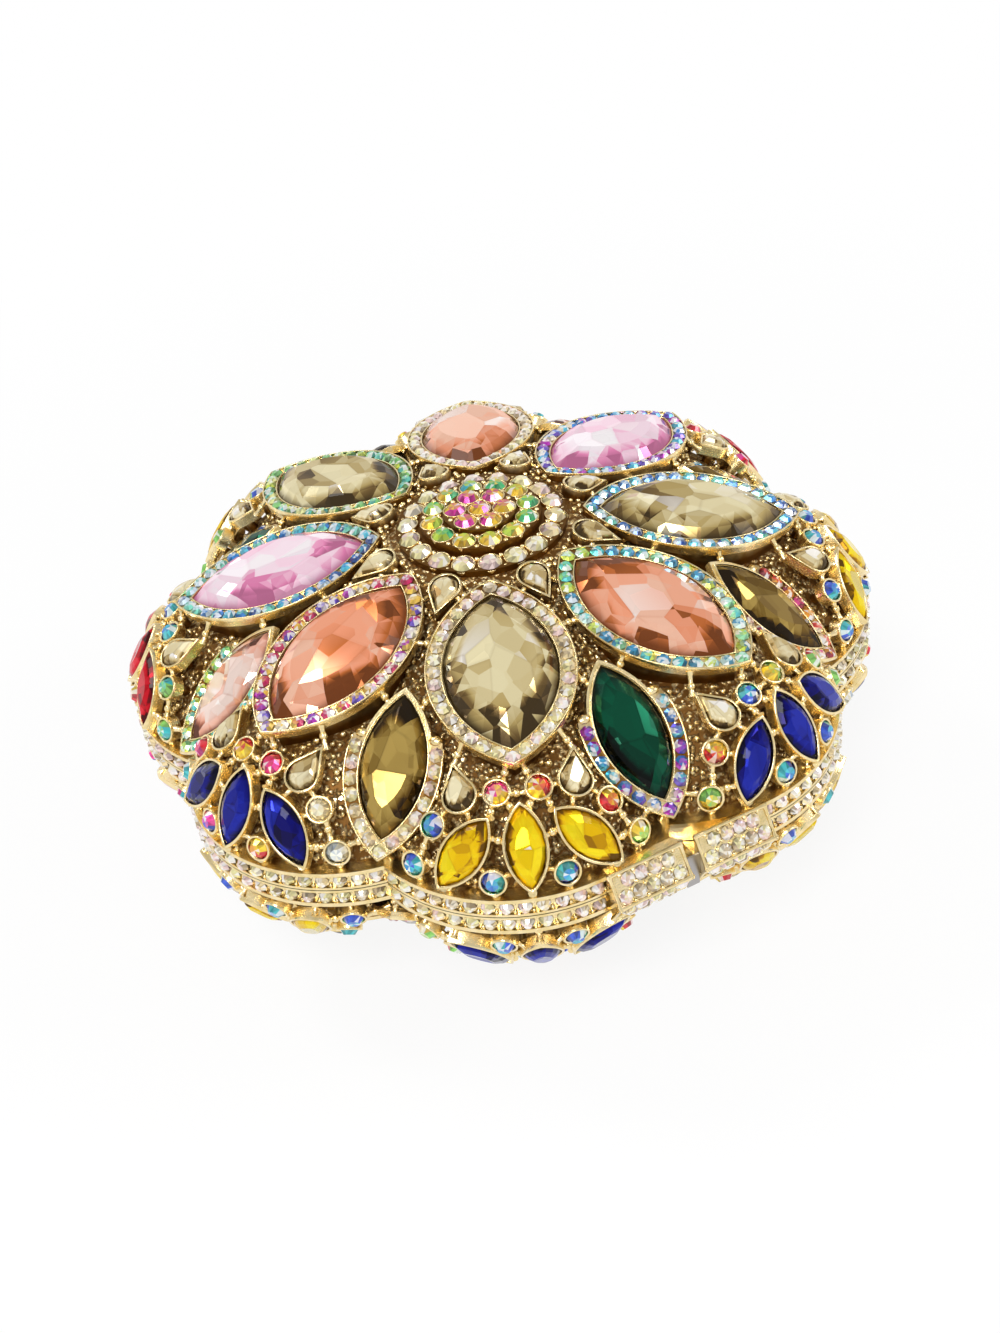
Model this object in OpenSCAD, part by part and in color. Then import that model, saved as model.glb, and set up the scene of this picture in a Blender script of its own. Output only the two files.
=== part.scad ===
// Hard evening clutch in the shape of an eight-lobed flower.
// Two equal halves, each a domed shell with bezel-set stones, close on a rim of small stones.
// The closed case rests on the lower rosette, with the clasp towards -Y and the hinge towards +Y.
// Each half is drawn with its parting face at z = 0 and its crown upwards, and is then put in place.

/* [Case] */
// Middle of the case to the tip of a lobe
lobe_tip_r = 76; // [72:0.5:84]
// Middle of the case to the corner between two lobes
notch_r = 67.8; // [66:0.2:69]
// Height of one half, from the parting plane to the tables of the rosette
half_h = 37; // [36:0.5:44]
// Height of the rim band of one half
band_h = 4.2; // [3.8:0.1:5]
// Radial width of the rim band
band_w = 5; // [4.4:0.1:5.6]
// Gap between the two rim bands when the case is closed
parting_gap = 0.2; // [0.1:0.05:0.4]
// Thickness of the domed shell
shell_t = 1.2; // [0.8:0.1:1.4]
// Thickness of the lining inside the shell
lining_t = 0.8; // [0.5:0.1:1]
// Drop from the rosette tables to the shell at the middle of a half
rosette_drop = 3.5; // [3:0.1:4]
// Ledge of bare rim that shows outside the foot of the shell
rim_ledge = 1.5; // [1.2:0.1:2]

/* [Rim stones] */
// Radius of one rim stone
rim_stone_r = 1.35; // [1:0.05:1.45]
// Stones along the rim of one lobe
rim_stones_per_lobe = 18; // [12:1:19]
// Depth of the channel that holds the rim stones
channel_depth = 0.7; // [0.5:0.05:0.9]

/* [Large stones] */
// Length of a large pointed stone
large_len = 36.5; // [32:0.5:37]
// Width of a large pointed stone
large_wid = 21.2; // [18:0.2:22]
// Height of the crown of a large stone above its bezel
large_crown = 3; // [2:0.1:4]
// Width of the flange around a large stone, which carries small stones
large_flange = 3.1; // [2.4:0.1:3.3]
// Height of a large bezel above the dome, at the middle of the stone
large_lift = 5.7; // [5.4:0.1:6]
// Slope of a large stone
large_tilt = 11.5; // [10:0.5:13]

/* [Medium stones] */
// Length of a medium pointed stone
medium_len = 26.6; // [24:0.2:27]
// Width of a medium pointed stone
medium_wid = 12.8; // [11:0.2:13.4]
// Height of the crown of a medium stone above its bezel
medium_crown = 2.2; // [1.6:0.1:3]
// Width of the flange around the outer part of a medium stone
medium_flange = 2.9; // [2.2:0.1:3]
// Height of a medium bezel above the dome, at the middle of the stone
medium_lift = 6.3; // [6:0.1:6.8]
// Slope of a medium stone
medium_tilt = 40.7; // [39:0.5:43]

/* [Small stones] */
// Length of a fan stone
fan_len = 15; // [13:0.5:15.5]
// Width of a fan stone
fan_wid = 7; // [6:0.2:7.4]
// Length of a pear stone
pear_len = 8.4; // [7:0.2:8.6]
// Width of a pear stone
pear_wid = 5.6; // [4.8:0.1:5.8]
// Radius of a round stone in its cup
round_r = 2.05; // [1.7:0.05:2.15]
// Thickness of the wall of a small bezel
bezel_wall = 0.5; // [0.4:0.05:0.6]
// Height of the small bezels above the bead that they stand on
small_lift = 2.7; // [2.4:0.1:3]
// Depth of a small bezel, trimmed where it meets the shell
small_depth = 8; // [7.4:0.2:9]
// Radius of a stone of the rosette
rosette_stone_r = 2.1; // [1.8:0.05:2.15]

/* [Hinge] */
// Outer radius of the hinge knuckles
knuckle_r = 2.3; // [2:0.1:2.5]
// Radius of the hinge pin
hinge_pin_r = 1; // [0.8:0.05:1.2]
// Length of the row of knuckles
hinge_len = 24; // [20:0.5:25]
// Clearance of the pin in its knuckles
pin_clear = 0.05; // [0.02:0.01:0.08]

/* [Clasp] */
// Length of one clasp block
clasp_len = 14.4; // [13:0.2:15]
// Gap between the two clasp blocks
clasp_gap = 3.2; // [2.8:0.1:4]
// Height of the clasp block above and below the parting plane
clasp_half_h = 5.2; // [5:0.1:5.6]
// Depth of a clasp block, from the crease of its face to its top edge
clasp_slant = 3.4; // [3:0.1:3.6]
// Thickness of the steel catch leaf
leaf_t = 0.4; // [0.3:0.05:0.5]

/* [Chain lugs] */
// Radius of the eye in a chain lug
lug_eye_r = 1.4; // [1.2:0.1:1.6]
// Thickness of a chain lug
lug_t = 1.4; // [1:0.1:1.8]

/* [Hidden] */

gold = "#d9b566";
dark_gold = "#6b4a1d";

// Lobes and notches that hold each colour of stone, counted anticlockwise from the clasp
coral_lobes = [0, 3, 6];
tan_lobes = [1, 4, 7];
pink_lobes = [2, 5];
green_notches = [0, 5];
olive_notches = [1, 2, 4, 7];
peach_notches = [3, 6];

// Outline of eight equal arcs
lobes = 8;
lobe_step = 360 / lobes;
half_step = lobe_step / 2;
lobe_d = (lobe_tip_r ^ 2 - notch_r ^ 2) / (2 * (lobe_tip_r - notch_r * cos(half_step)));
lobe_r = lobe_tip_r - lobe_d;
first_lobe_angle = -90 + half_step;
// Length added to every cut that runs right through
overrun = half_h;
// Gap left where two curved faces of one half lie against each other
seat_gap = 0.05;

// Dome over the middle, a part of a sphere
dome_apex = half_h - rosette_drop;
dome_foot_share = 0.948;
dome_r = ((dome_foot_share * notch_r) ^ 2 + (dome_apex - band_h) ^ 2) / (2 * (dome_apex - band_h));
// Swell over each lobe, a part of a sphere about the lobe's own middle
swell_share = 0.657;
swell_top = swell_share * dome_apex;
swell_foot_r = lobe_r - 2 * rim_ledge;
swell_r = (swell_foot_r ^ 2 + (swell_top - band_h) ^ 2) / (2 * (swell_top - band_h));

function dome_z(r) = dome_apex - dome_r + sqrt(dome_r ^ 2 - r ^ 2);

module lobe_copies() {
    for (k = [0 : lobes - 1])
        rotate([0, 0, first_lobe_angle + k * lobe_step]) children();
}

module notch_copies() {
    for (k = [0 : lobes - 1])
        rotate([0, 0, first_lobe_angle - half_step + k * lobe_step]) children();
}

module base_half() {
    translate([0, 0, half_h]) rotate([0, 180, 0]) children();
}

module lid_half() {
    translate([0, 0, half_h]) children();
}

// Flower outline, drawn in by inset
module outline(inset = 0) {
    circle(r = lobe_d);
    lobe_copies() translate([lobe_d, 0]) circle(r = lobe_r - inset, $fn = 96);
}

module outline_solid(inset, z_low, z_high) {
    translate([0, 0, z_low]) linear_extrude(z_high - z_low) outline(inset);
}

module outline_ring(outer_inset, inner_inset, z_low, z_high) {
    translate([0, 0, z_low]) linear_extrude(z_high - z_low) difference() {
        outline(outer_inset);
        outline(inner_inset);
    }
}

// Solid under the outer face of the shell, drawn in by inset, from z_low upwards
module dome_solid(inset = 0, z_low = band_h) {
    difference() {
        union() {
            translate([0, 0, dome_apex - dome_r]) sphere(r = dome_r - inset, $fn = 240);
            lobe_copies() translate([lobe_d, 0, swell_top - swell_r])
                sphere(r = swell_r - inset, $fn = 128);
        }
        translate([0, 0, z_low - 2 * dome_r])
            cylinder(h = 2 * dome_r, r = 2 * lobe_tip_r);
    }
}

// Pieces of one half

// Shares of the band that its channel, lip and rebate take
channel_low_share = 0.42;
lip_t_share = 0.2;
lip_h_share = 0.38;
lip_clear_share = 0.07;
channel_low = (band_h - 2 * rim_stone_r) * channel_low_share;
lip_t = band_w * lip_t_share;
lip_h = band_h * lip_h_share;
lip_clear = band_h * lip_clear_share;

// The base has a lip inside its band, and the lid has the rebate that takes it
module rim_band(has_lip) {
    color(gold) {
        difference() {
            outline_solid(0, parting_gap / 2, band_h);
            outline_solid(band_w, -overrun, overrun);
            outside_outline(channel_depth, channel_low, channel_low + 2 * rim_stone_r);
            if (!has_lip)
                outline_solid(band_w - lip_t - lip_clear, -overrun, lip_h + lip_clear);
        }
        if (has_lip)
            outline_ring(band_w - lip_t, band_w, -lip_h, band_h / 2);
    }
}

// All that lies outside the outline drawn in by inset, between two heights
module outside_outline(inset, z_low, z_high) {
    translate([0, 0, z_low]) linear_extrude(z_high - z_low) difference() {
        circle(r = lobe_tip_r + overrun);
        outline(inset);
    }
}

rim_span = 2 * atan2(notch_r * sin(half_step), notch_r * cos(half_step) - lobe_d);
rim_pitch = rim_span / rim_stones_per_lobe;
rim_gem_h_share = 1.7;
rim_gem_foot_share = 0.98;
rim_gem_table_share = 0.5;

// Where a rim stone stands, measured across the clasp and hinge
function rim_x(k, turn) =
    lobe_d * cos(first_lobe_angle + k * lobe_step) + lobe_r * cos(first_lobe_angle + k * lobe_step + turn);
function rim_y(k, turn) =
    lobe_d * sin(first_lobe_angle + k * lobe_step) + lobe_r * sin(first_lobe_angle + k * lobe_step + turn);
// No stones behind the clasp blocks or the hinge
function rim_free(k, turn) =
    let (x = abs(rim_x(k, turn)), y = rim_y(k, turn))
    y < -lobe_d ? x > clasp_gap / 2 + clasp_len + rim_stone_r :
    y > lobe_d ? x > hinge_len / 2 + rim_stone_r : true;

module rim_stones() {
    color("#e8dfe8") for (k = [0 : lobes - 1], i = [0 : rim_stones_per_lobe - 1]) {
        turn = (i + 0.5) * rim_pitch - rim_span / 2;
        if (rim_free(k, turn))
            rotate([0, 0, first_lobe_angle + k * lobe_step])
                translate([lobe_d, 0, channel_low + rim_stone_r]) rotate([0, 0, turn])
                    translate([lobe_r - channel_depth, 0, 0]) rotate([0, 90, 0])
                        cylinder(h = channel_depth * rim_gem_h_share, r1 = rim_stone_r * rim_gem_foot_share,
                            r2 = rim_stone_r * rim_gem_table_share, $fn = 24);
    }
}

module shell() {
    color(dark_gold) difference() {
        dome_solid(0);
        dome_solid(shell_t, band_h - overrun);
    }
}

module lining() {
    color("#b08c4a") difference() {
        dome_solid(shell_t + seat_gap);
        dome_solid(shell_t + seat_gap + lining_t, band_h - overrun);
    }
}

// Stones

// Outline of a pointed oval as points, stepped evenly along its two arcs
function navette_points(len, wid, steps) =
    let (rho = ((len / 2) ^ 2 + (wid / 2) ^ 2) / wid, a = asin(len / 2 / rho))
    [for (side = [1, -1], i = [0 : steps - 1])
        let (t = a - 2 * a * i / steps)
        side * [rho * sin(t), rho * cos(t) - rho + wid / 2]];

// Outline of a pear as points: a tip towards +X and a round end
function pear_points(len, wid, steps) =
    let (r = wid / 2, tip = len - r, a = acos(r / tip), mid = tip - len / 2)
    concat([[tip - mid, 0]],
        [for (i = [0 : steps]) let (t = a + (360 - 2 * a) * i / steps)
            [r * cos(t) - mid, r * sin(t)]]);

function mids(p) = [for (i = [0 : len(p) - 1]) (p[i] + p[(i + 1) % len(p)]) / 2];
function raised(p, share, z) = [for (v = p) [share * v.x, share * v.y, z]];

// Cut stone on its girdle, with a flat table, and with a pavilion if it has a depth
module gem(points, girdle, crown, pavilion, table_share) {
    n = len(points);
    culet_share = 0.45;
    root_share = 0.86;
    next = [for (i = [0 : n - 1]) (i + 1) % n];
    low = [raised(mids(points), culet_share, -pavilion), raised(points, root_share, 0)];
    rings = concat(pavilion > 0 ? low : [],
        [raised(points, 1, 0), raised(points, 1, girdle),
         raised(mids(points), table_share, girdle + crown)]);
    b = pavilion > 0 ? 2 * n : 0;
    faces = concat(
        [[for (i = [0 : n - 1]) i]],
        pavilion > 0 ? [for (i = [0 : n - 1]) [n + i, n + next[i], i]] : [],
        pavilion > 0 ? [for (i = [0 : n - 1]) [i, n + next[i], next[i]]] : [],
        pavilion > 0 ? [for (i = [0 : n - 1]) [n + i, b + i, b + next[i], n + next[i]]] : [],
        [for (i = [0 : n - 1]) [b + i, b + n + i, b + n + next[i], b + next[i]]],
        [for (i = [0 : n - 1]) [b + n + i, b + 2 * n + i, b + n + next[i]]],
        [for (i = [0 : n - 1]) [b + 2 * n + i, b + 2 * n + next[i], b + n + next[i]]],
        [[for (i = [n - 1 : -1 : 0]) b + 2 * n + i]]);
    polyhedron([for (ring = rings, v = ring) v], faces, convexity = 2);
}

// Pointed oval between two arcs, grown by grow
module navette(len, wid, grow = 0) {
    rho = ((len / 2) ^ 2 + (wid / 2) ^ 2) / wid;
    intersection() {
        translate([0, wid / 2 - rho]) circle(r = rho + grow, $fn = 96);
        translate([0, rho - wid / 2]) circle(r = rho + grow, $fn = 96);
    }
}

// Pear outline grown by grow
module pear(len, wid, grow = 0) {
    r = wid / 2 + grow;
    // The sides keep their slope as the outline grows, so the tip moves further out
    tip = (len - wid / 2) * r / (wid / 2);
    mid = len / 2 - wid / 2;
    a = acos(r / tip);
    translate([-mid, 0]) {
        circle(r = r, $fn = 48);
        polygon([[tip, 0], [r * cos(a), r * sin(a)], [r * cos(a), -r * sin(a)]]);
    }
}

// Large stones, one on each lobe

large_share = 0.548;
large_girdle_share = 0.4;
large_pavilion_share = 0.6;
large_table_share = 0.62;
large_girdle = large_crown * large_girdle_share;
large_pavilion = large_crown * large_pavilion_share;

module large_place() {
    r = lobe_tip_r * large_share;
    translate([r, 0, dome_z(r) + large_lift]) rotate([0, large_tilt, 0]) children();
}

// A setting: a flange or a plain rim round a pocket with a seat, down to the shell
module setting(len, wid, girdle, wall, flange, flange_t, depth) {
    difference() {
        union() {
            translate([0, 0, -flange_t]) linear_extrude(flange_t) navette(len, wid, flange);
            translate([0, 0, -depth]) linear_extrude(depth) navette(len, wid, wall);
        }
        translate([0, 0, -girdle]) linear_extrude(overrun) navette(len, wid, seat_gap);
        translate([0, 0, -overrun]) linear_extrude(overrun) navette(len, wid, -wall);
    }
}

// Takes away what would reach into the shell or below the top of the rim band
module on_shell() {
    difference() {
        children();
        dome_solid(0, 0);
        translate([0, 0, -overrun]) cylinder(h = overrun + band_h, r = 2 * lobe_tip_r);
    }
}

module large_bezels() {
    color(gold) on_shell() lobe_copies() large_place()
        setting(large_len, large_wid, large_girdle, 2 * bezel_wall, large_flange,
            large_flange / 2, 3 * large_flange);
}

module large_stones(which) {
    for (k = which) rotate([0, 0, first_lobe_angle + k * lobe_step]) large_place()
        translate([0, 0, -large_girdle])
            gem(navette_points(large_len, large_wid, 8), large_girdle, large_crown,
                large_pavilion, large_table_share);
}

module coral_stones() { color("#e39a80") large_stones(coral_lobes); }
module tan_stones() { color("#8f7f52") large_stones(tan_lobes); }
module pink_stones() { color("#e9a3cf") large_stones(pink_lobes); }

// Medium stones, one over each notch

// Shares of notch_r, so that these stones stay over the notches
medium_share = 0.8351;
medium_girdle_share = 0.45;
medium_pavilion_share = 0.3;
medium_table_share = 0.6;
// The flange stops short of the inner end of the stone
medium_flange_from_share = 0.2;
medium_girdle = medium_crown * medium_girdle_share;

module medium_place() {
    r = notch_r * medium_share;
    translate([r, 0, dome_z(r) + medium_lift]) rotate([0, medium_tilt, 0]) children();
}

// A shallow cup with a flange
module medium_cup() {
    cup_h = medium_flange / 2;
    flange_t = medium_flange / 3;
    difference() {
        union() {
            translate([0, 0, -flange_t]) linear_extrude(flange_t) intersection() {
                navette(medium_len, medium_wid, medium_flange);
                translate([-medium_len * medium_flange_from_share, -medium_len])
                    square(2 * medium_len);
            }
            translate([0, 0, -cup_h]) linear_extrude(cup_h)
                navette(medium_len, medium_wid, 2 * bezel_wall);
        }
        translate([0, 0, -medium_girdle]) linear_extrude(overrun)
            navette(medium_len, medium_wid, seat_gap);
        translate([0, 0, -overrun]) linear_extrude(overrun)
            navette(medium_len, medium_wid, -2 * bezel_wall);
    }
}

// Four legs under the wall of the cup
module medium_legs() {
    leg_x = medium_len / 4;
    leg_r = 2 * bezel_wall;
    rho = ((medium_len / 2) ^ 2 + (medium_wid / 2) ^ 2) / medium_wid;
    leg_y = sqrt(rho ^ 2 - leg_x ^ 2) - rho + medium_wid / 2;
    leg_len = 4 * medium_flange;
    for (sx = [-1, 1], sy = [-1, 1])
        translate([sx * leg_x, sy * leg_y, -leg_len])
            cylinder(h = leg_len - medium_girdle, r = leg_r, $fn = 24);
}

module medium_bezels() {
    color(gold) on_shell() notch_copies() medium_place() difference() {
        union() {
            medium_cup();
            medium_legs();
        }
        // room for the pavilion of the stone between the legs
        translate([0, 0, -medium_flange]) linear_extrude(medium_flange)
            navette(medium_len, medium_wid, -2 * bezel_wall);
    }
}

module medium_stones(which) {
    for (k = which) rotate([0, 0, first_lobe_angle - half_step + k * lobe_step]) medium_place()
        translate([0, 0, -medium_girdle])
            gem(navette_points(medium_len, medium_wid, 6), medium_girdle, medium_crown,
                medium_crown * medium_pavilion_share, medium_table_share);
}

module green_stones() { color("#0c5c46") medium_stones(green_notches); }
module olive_stones() { color("#7d6b3c") medium_stones(olive_notches); }
module peach_stones() { color("#e6b79f") medium_stones(peach_notches); }

// Small stones

small_girdle = 2 * bezel_wall;
small_crown = 3 * bezel_wall;
fan_table_share = 0.5;
pear_table_share = 0.55;
round_table_share = 0.55;
// The small stones of a lobe stand square on a bead about the middle of the lobe.
// Each place is an angle round the lobe, an angle up the bead and a turn.
bead_share = 0.6;
bead_inset_share = 1.65;
bead_rise_share = 0.24;
bead_r = lobe_r * bead_share;
bead_d = lobe_r - bead_r - bead_inset_share * rim_ledge;
bead_z = band_h * bead_rise_share;
fan_places = [[0, 34, 0], [22.3, 31.5, 32], [-22.3, 31.5, -32]];
pear_places = [[29, 60, 150], [-29, 60, -150]];
round_places = [[10, 60, 0], [-10, 60, 0], [35.6, 41, 0], [-35.6, 41, 0],
    [40.5, 20, 0], [-40.5, 20, 0], [12.1, 18.5, 0], [-12.1, 18.5, 0]];

module bead_place(place) {
    translate([lobe_d, 0, 0]) rotate([0, 0, place[0]]) translate([bead_d, 0, bead_z])
        rotate([0, 90 - place[1], 0]) translate([0, 0, bead_r + small_lift])
            rotate([0, 0, place[2]]) children();
}

// Stem of a small cup, down to the shell
module stem() {
    translate([0, 0, -small_depth])
        cylinder(h = small_depth - small_girdle, r = round_r / 2, $fn = 24);
}

module fan_bezels() {
    color(gold) on_shell() lobe_copies() for (p = fan_places) bead_place(p) difference() {
        union() {
            translate([0, 0, -2 * small_girdle]) linear_extrude(2 * small_girdle)
                navette(fan_len, fan_wid, bezel_wall);
            for (side = [-1, 1]) translate([side * fan_len / 4, 0, 0]) stem();
        }
        translate([0, 0, -small_girdle]) linear_extrude(overrun) navette(fan_len, fan_wid, seat_gap);
    }
}

module fan_stones(which) {
    for (k = which) rotate([0, 0, first_lobe_angle + k * lobe_step])
        for (p = fan_places) bead_place(p) translate([0, 0, -small_girdle])
            gem(navette_points(fan_len, fan_wid, 4), small_girdle, small_crown, 0, fan_table_share);
}

module blue_fan() { color("#1a1fb0") fan_stones(coral_lobes); }
module yellow_fan() { color("#e8b80a") fan_stones(tan_lobes); }
module red_fan() { color("#c01020") fan_stones(pink_lobes); }

module pear_cup() {
    difference() {
        union() {
            translate([0, 0, -2 * small_girdle]) linear_extrude(2 * small_girdle)
                pear(pear_len, pear_wid, bezel_wall);
            translate([(pear_wid - pear_len) / 2, 0, 0]) stem();
        }
        translate([0, 0, -small_girdle]) linear_extrude(overrun) pear(pear_len, pear_wid, seat_gap);
    }
}

// The inner pears lie on the dome between the rosette and the medium stones
inner_pear_share = 0.3363;
inner_pear_lift_share = 0.75;

module pear_copies() {
    lobe_copies() for (p = pear_places) bead_place(p) children();
    notch_copies() dome_place(notch_r * inner_pear_share, small_lift * inner_pear_lift_share)
        children();
}

// Square on the dome at a distance r from its axis
module dome_place(r, lift) {
    translate([0, 0, dome_apex - dome_r]) rotate([0, asin(r / dome_r), 0])
        translate([0, 0, dome_r + lift]) children();
}

module pear_bezels() {
    color(gold) on_shell() pear_copies() pear_cup();
}

module pear_stones() {
    color("#9a8257") pear_copies() translate([0, 0, -small_girdle])
        gem(pear_points(pear_len, pear_wid, 7), small_girdle, small_crown, 0, pear_table_share);
}

module round_cups() {
    color(gold) on_shell() lobe_copies() for (p = round_places) bead_place(p) difference() {
        union() {
            translate([0, 0, -2 * small_girdle])
                cylinder(h = 2 * small_girdle, r = round_r + bezel_wall, $fn = 32);
            stem();
        }
        translate([0, 0, -small_girdle]) cylinder(h = overrun, r = round_r + seat_gap, $fn = 32);
    }
}

// Round cut stone: a girdle, a sloping crown and a table
module round_gem(r, girdle, crown) {
    rotate_extrude($fn = 32) polygon([
        [0, 0], [r, 0], [r, girdle], [r * round_table_share, girdle + crown], [0, girdle + crown]
    ]);
}

module round_stones() {
    color("#4f6fb0") lobe_copies() for (p = round_places) bead_place(p)
        translate([0, 0, -small_girdle]) round_gem(round_r, small_girdle, small_crown);
}

// Rosette: a stepped boss in three tiers, with rings of round stones

ring_counts = [1, 6, 12, 18];
// Radius of each ring as a share of a stone's radius
ring_shares = [0, 2.33, 4.6, 7];
// How far each ring drops, as a share of the rosette's height
ring_drop_shares = [0, 0, 0.28, 0.8];
ring_tilts = [0, 0, 3, 12];
ring_edge_share = 1.12;
rosette_girdle_share = 0.35;
rosette_crown_share = 0.45;
rosette_seat_share = 0.8;
rosette_girdle = rosette_stone_r * rosette_girdle_share;
rosette_crown = rosette_stone_r * rosette_crown_share;
rosette_floor = half_h - rosette_crown - rosette_girdle;

module ring_place(ring, i) {
    rotate([0, 0, (i + 0.5) * 360 / ring_counts[ring]])
        translate([ring_shares[ring] * rosette_stone_r, 0,
            rosette_floor - ring_drop_shares[ring] * rosette_drop])
            rotate([0, ring_tilts[ring], 0]) children();
}

module ring_copies() {
    for (ring = [0 : len(ring_counts) - 1], i = [0 : ring_counts[ring] - 1])
        ring_place(ring, i) children();
}

module rosette() {
    seat = rosette_girdle * rosette_seat_share;
    color(gold) difference() {
        union() for (ring = [1 : len(ring_counts) - 1])
            cylinder(h = rosette_floor + seat - ring_drop_shares[ring] * rosette_drop,
                r = (ring_shares[ring] + ring_edge_share) * rosette_stone_r, $fn = 96);
        dome_solid(0, 0);
        translate([0, 0, -overrun]) cylinder(h = overrun + band_h, r = lobe_tip_r);
        ring_copies() cylinder(h = overrun, r = rosette_stone_r + seat_gap / 2, $fn = 24);
    }
}

module rosette_stones() {
    color("#c8409a") ring_copies() round_gem(rosette_stone_r, rosette_girdle, rosette_crown);
}

// Hinge

knuckles = 5;
hinge_inset_share = 0.35;
knuckle_gap_share = 0.04;
web_top_share = 0.8;
hinge_y = lobe_tip_r - hinge_inset_share * knuckle_r;
knuckle_len = hinge_len / knuckles;
knuckle_gap = knuckle_len * knuckle_gap_share;

// Slices across the hinge that hold every second knuckle, wider by grow at each end
module knuckle_slices(first, grow) {
    for (k = [first : 2 : knuckles - 1])
        translate([k * knuckle_len - hinge_len / 2 - grow, lobe_d, -overrun])
            cube([knuckle_len + 2 * grow, lobe_tip_r, 2 * overrun]);
}

module hinge_rod(r, len) {
    translate([-len / 2, hinge_y, 0]) rotate([0, 90, 0]) cylinder(h = len, r = r, $fn = 48);
}

// The web fills the notch behind the rim band and carries the knuckles
module hinge_leaf(first) {
    color(gold) difference() {
        union() {
            translate([-hinge_len / 2, notch_r - band_w, parting_gap / 2])
                cube([hinge_len, hinge_y - knuckle_r / 2 - notch_r + band_w,
                    web_top_share * knuckle_r - parting_gap / 2]);
            intersection() {
                hinge_rod(knuckle_r, hinge_len);
                knuckle_slices(first, -knuckle_gap / 2);
            }
        }
        outline_solid(0, -overrun, band_h);
        intersection() {
            hinge_rod(knuckle_r + 2 * knuckle_gap, 2 * hinge_len);
            knuckle_slices(1 - first, knuckle_gap / 2);
        }
        hinge_rod(hinge_pin_r + pin_clear, 2 * hinge_len);
    }
}

module hinge_pin() {
    color("silver") translate([0, 0, half_h]) hinge_rod(hinge_pin_r, hinge_len + hinge_pin_r);
}

// Clasp: the lid's block lies to the left of the notch and the base's to the right

crease_share = 0.4;
block_back_share = 0.8;
lap_share = 0.5;
leaf_depth_share = 0.5;
leaf_len_share = 1.16;
leaf_low_share = -0.58;
leaf_high_share = 0.38;
leaf_bead_share = 0.9;
leaf_root_share = 1.26;
leaf_clear_share = 0.75;
leaf_chamber_share = 0.62;
leaf_tab_share = 0.8;
crease_y = -lobe_tip_r - crease_share * clasp_slant;
block_back_y = -lobe_tip_r + block_back_share * clasp_slant;
leaf_y = block_back_y - leaf_depth_share * clasp_slant;
leaf_len = leaf_len_share * clasp_len;
leaf_low = leaf_low_share * clasp_half_h;
leaf_high = leaf_high_share * clasp_half_h;
leaf_bead_r = leaf_bead_share * leaf_t;
leaf_root_r = leaf_root_share * leaf_t;
leaf_clear = leaf_clear_share * leaf_t;
leaf_pivot_x = (clasp_gap + clasp_len) / 2;
leaf_free_x = leaf_pivot_x - leaf_len;
leaf_bead_z = (leaf_low + leaf_high) / 2;

module along_x(x_low, x_high) {
    translate([x_low, 0, 0]) rotate([90, 0, 90]) linear_extrude(x_high - x_low) children();
}

// One block, with the root that carries it on the rim band of its own half, less its children
module clasp_block() {
    x_low = -clasp_gap / 2 - clasp_len;
    x_high = -clasp_gap / 2;
    edge_y = crease_y + clasp_slant;
    lap_y = block_back_y + lap_share * clasp_slant;
    color(gold) difference() {
        union() {
            along_x(x_low, x_high) polygon([
                [crease_y, 0], [edge_y, clasp_half_h], [block_back_y, clasp_half_h],
                [block_back_y, -clasp_half_h], [edge_y, -clasp_half_h]
            ]);
            translate([x_low, block_back_y, parting_gap / 2])
                cube([clasp_len, -notch_r - block_back_y, band_h - parting_gap / 2]);
            translate([x_low, block_back_y, band_h / 2])
                cube([clasp_len, lap_y - block_back_y, clasp_half_h - band_h / 2]);
        }
        outline_solid(0, -overrun, band_h);
        children();
    }
}

module lid_clasp_block() {
    lid_half() clasp_block() {
        // chamber for the leaf, open behind and below
        translate([-clasp_gap / 2 - leaf_chamber_share * clasp_len, leaf_y - leaf_clear, -overrun])
            cube([clasp_len, block_back_y - leaf_y + leaf_clear, overrun + leaf_high + leaf_clear]);
        // groove that the bead of the leaf snaps into
        translate([leaf_free_x - leaf_clear, leaf_y, leaf_bead_z]) rotate([0, 90, 0])
            cylinder(h = leaf_len / 3, r = leaf_bead_r + leaf_clear / 2, $fn = 24);
    }
}

// Here the leaf is seen in the frame of the turned half
module base_clasp_block() {
    base_half() clasp_block() {
        // slot that lets the leaf flex inwards
        translate([-leaf_pivot_x, leaf_y - seat_gap, -leaf_high - seat_gap])
            cube([clasp_len, leaf_t + leaf_clear + seat_gap, leaf_high - leaf_low + 2 * seat_gap]);
        // pocket that grips the rolled root
        translate([-leaf_pivot_x, leaf_y + leaf_t / 2, -leaf_high - seat_gap])
            cylinder(h = leaf_high - leaf_low + 2 * seat_gap, r = leaf_root_r + seat_gap, $fn = 24);
    }
}

module catch_leaf() {
    tab_h = leaf_tab_share * clasp_half_h / 2;
    color("#8f8a90") translate([0, 0, half_h]) {
        translate([leaf_free_x, leaf_y, leaf_low]) cube([leaf_len, leaf_t, leaf_high - leaf_low]);
        // rolled root that the leaf turns on as it flexes
        translate([leaf_pivot_x, leaf_y + leaf_t / 2, leaf_low])
            cylinder(h = leaf_high - leaf_low, r = leaf_root_r, $fn = 24);
        // bead that holds the lid shut
        translate([leaf_free_x + leaf_clear, leaf_y, leaf_bead_z]) rotate([0, 90, 0])
            cylinder(h = leaf_len / 6, r = leaf_bead_r, $fn = 24);
        // tab that shows between the two blocks
        translate([-leaf_tab_share * clasp_gap / 2, leaf_y, leaf_low - tab_h])
            cube([leaf_tab_share * clasp_gap, leaf_t, 2 * tab_h]);
    }
}

// Chain lugs stand on the inner wall of the base's rim band, on both sides of the hinge

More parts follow.
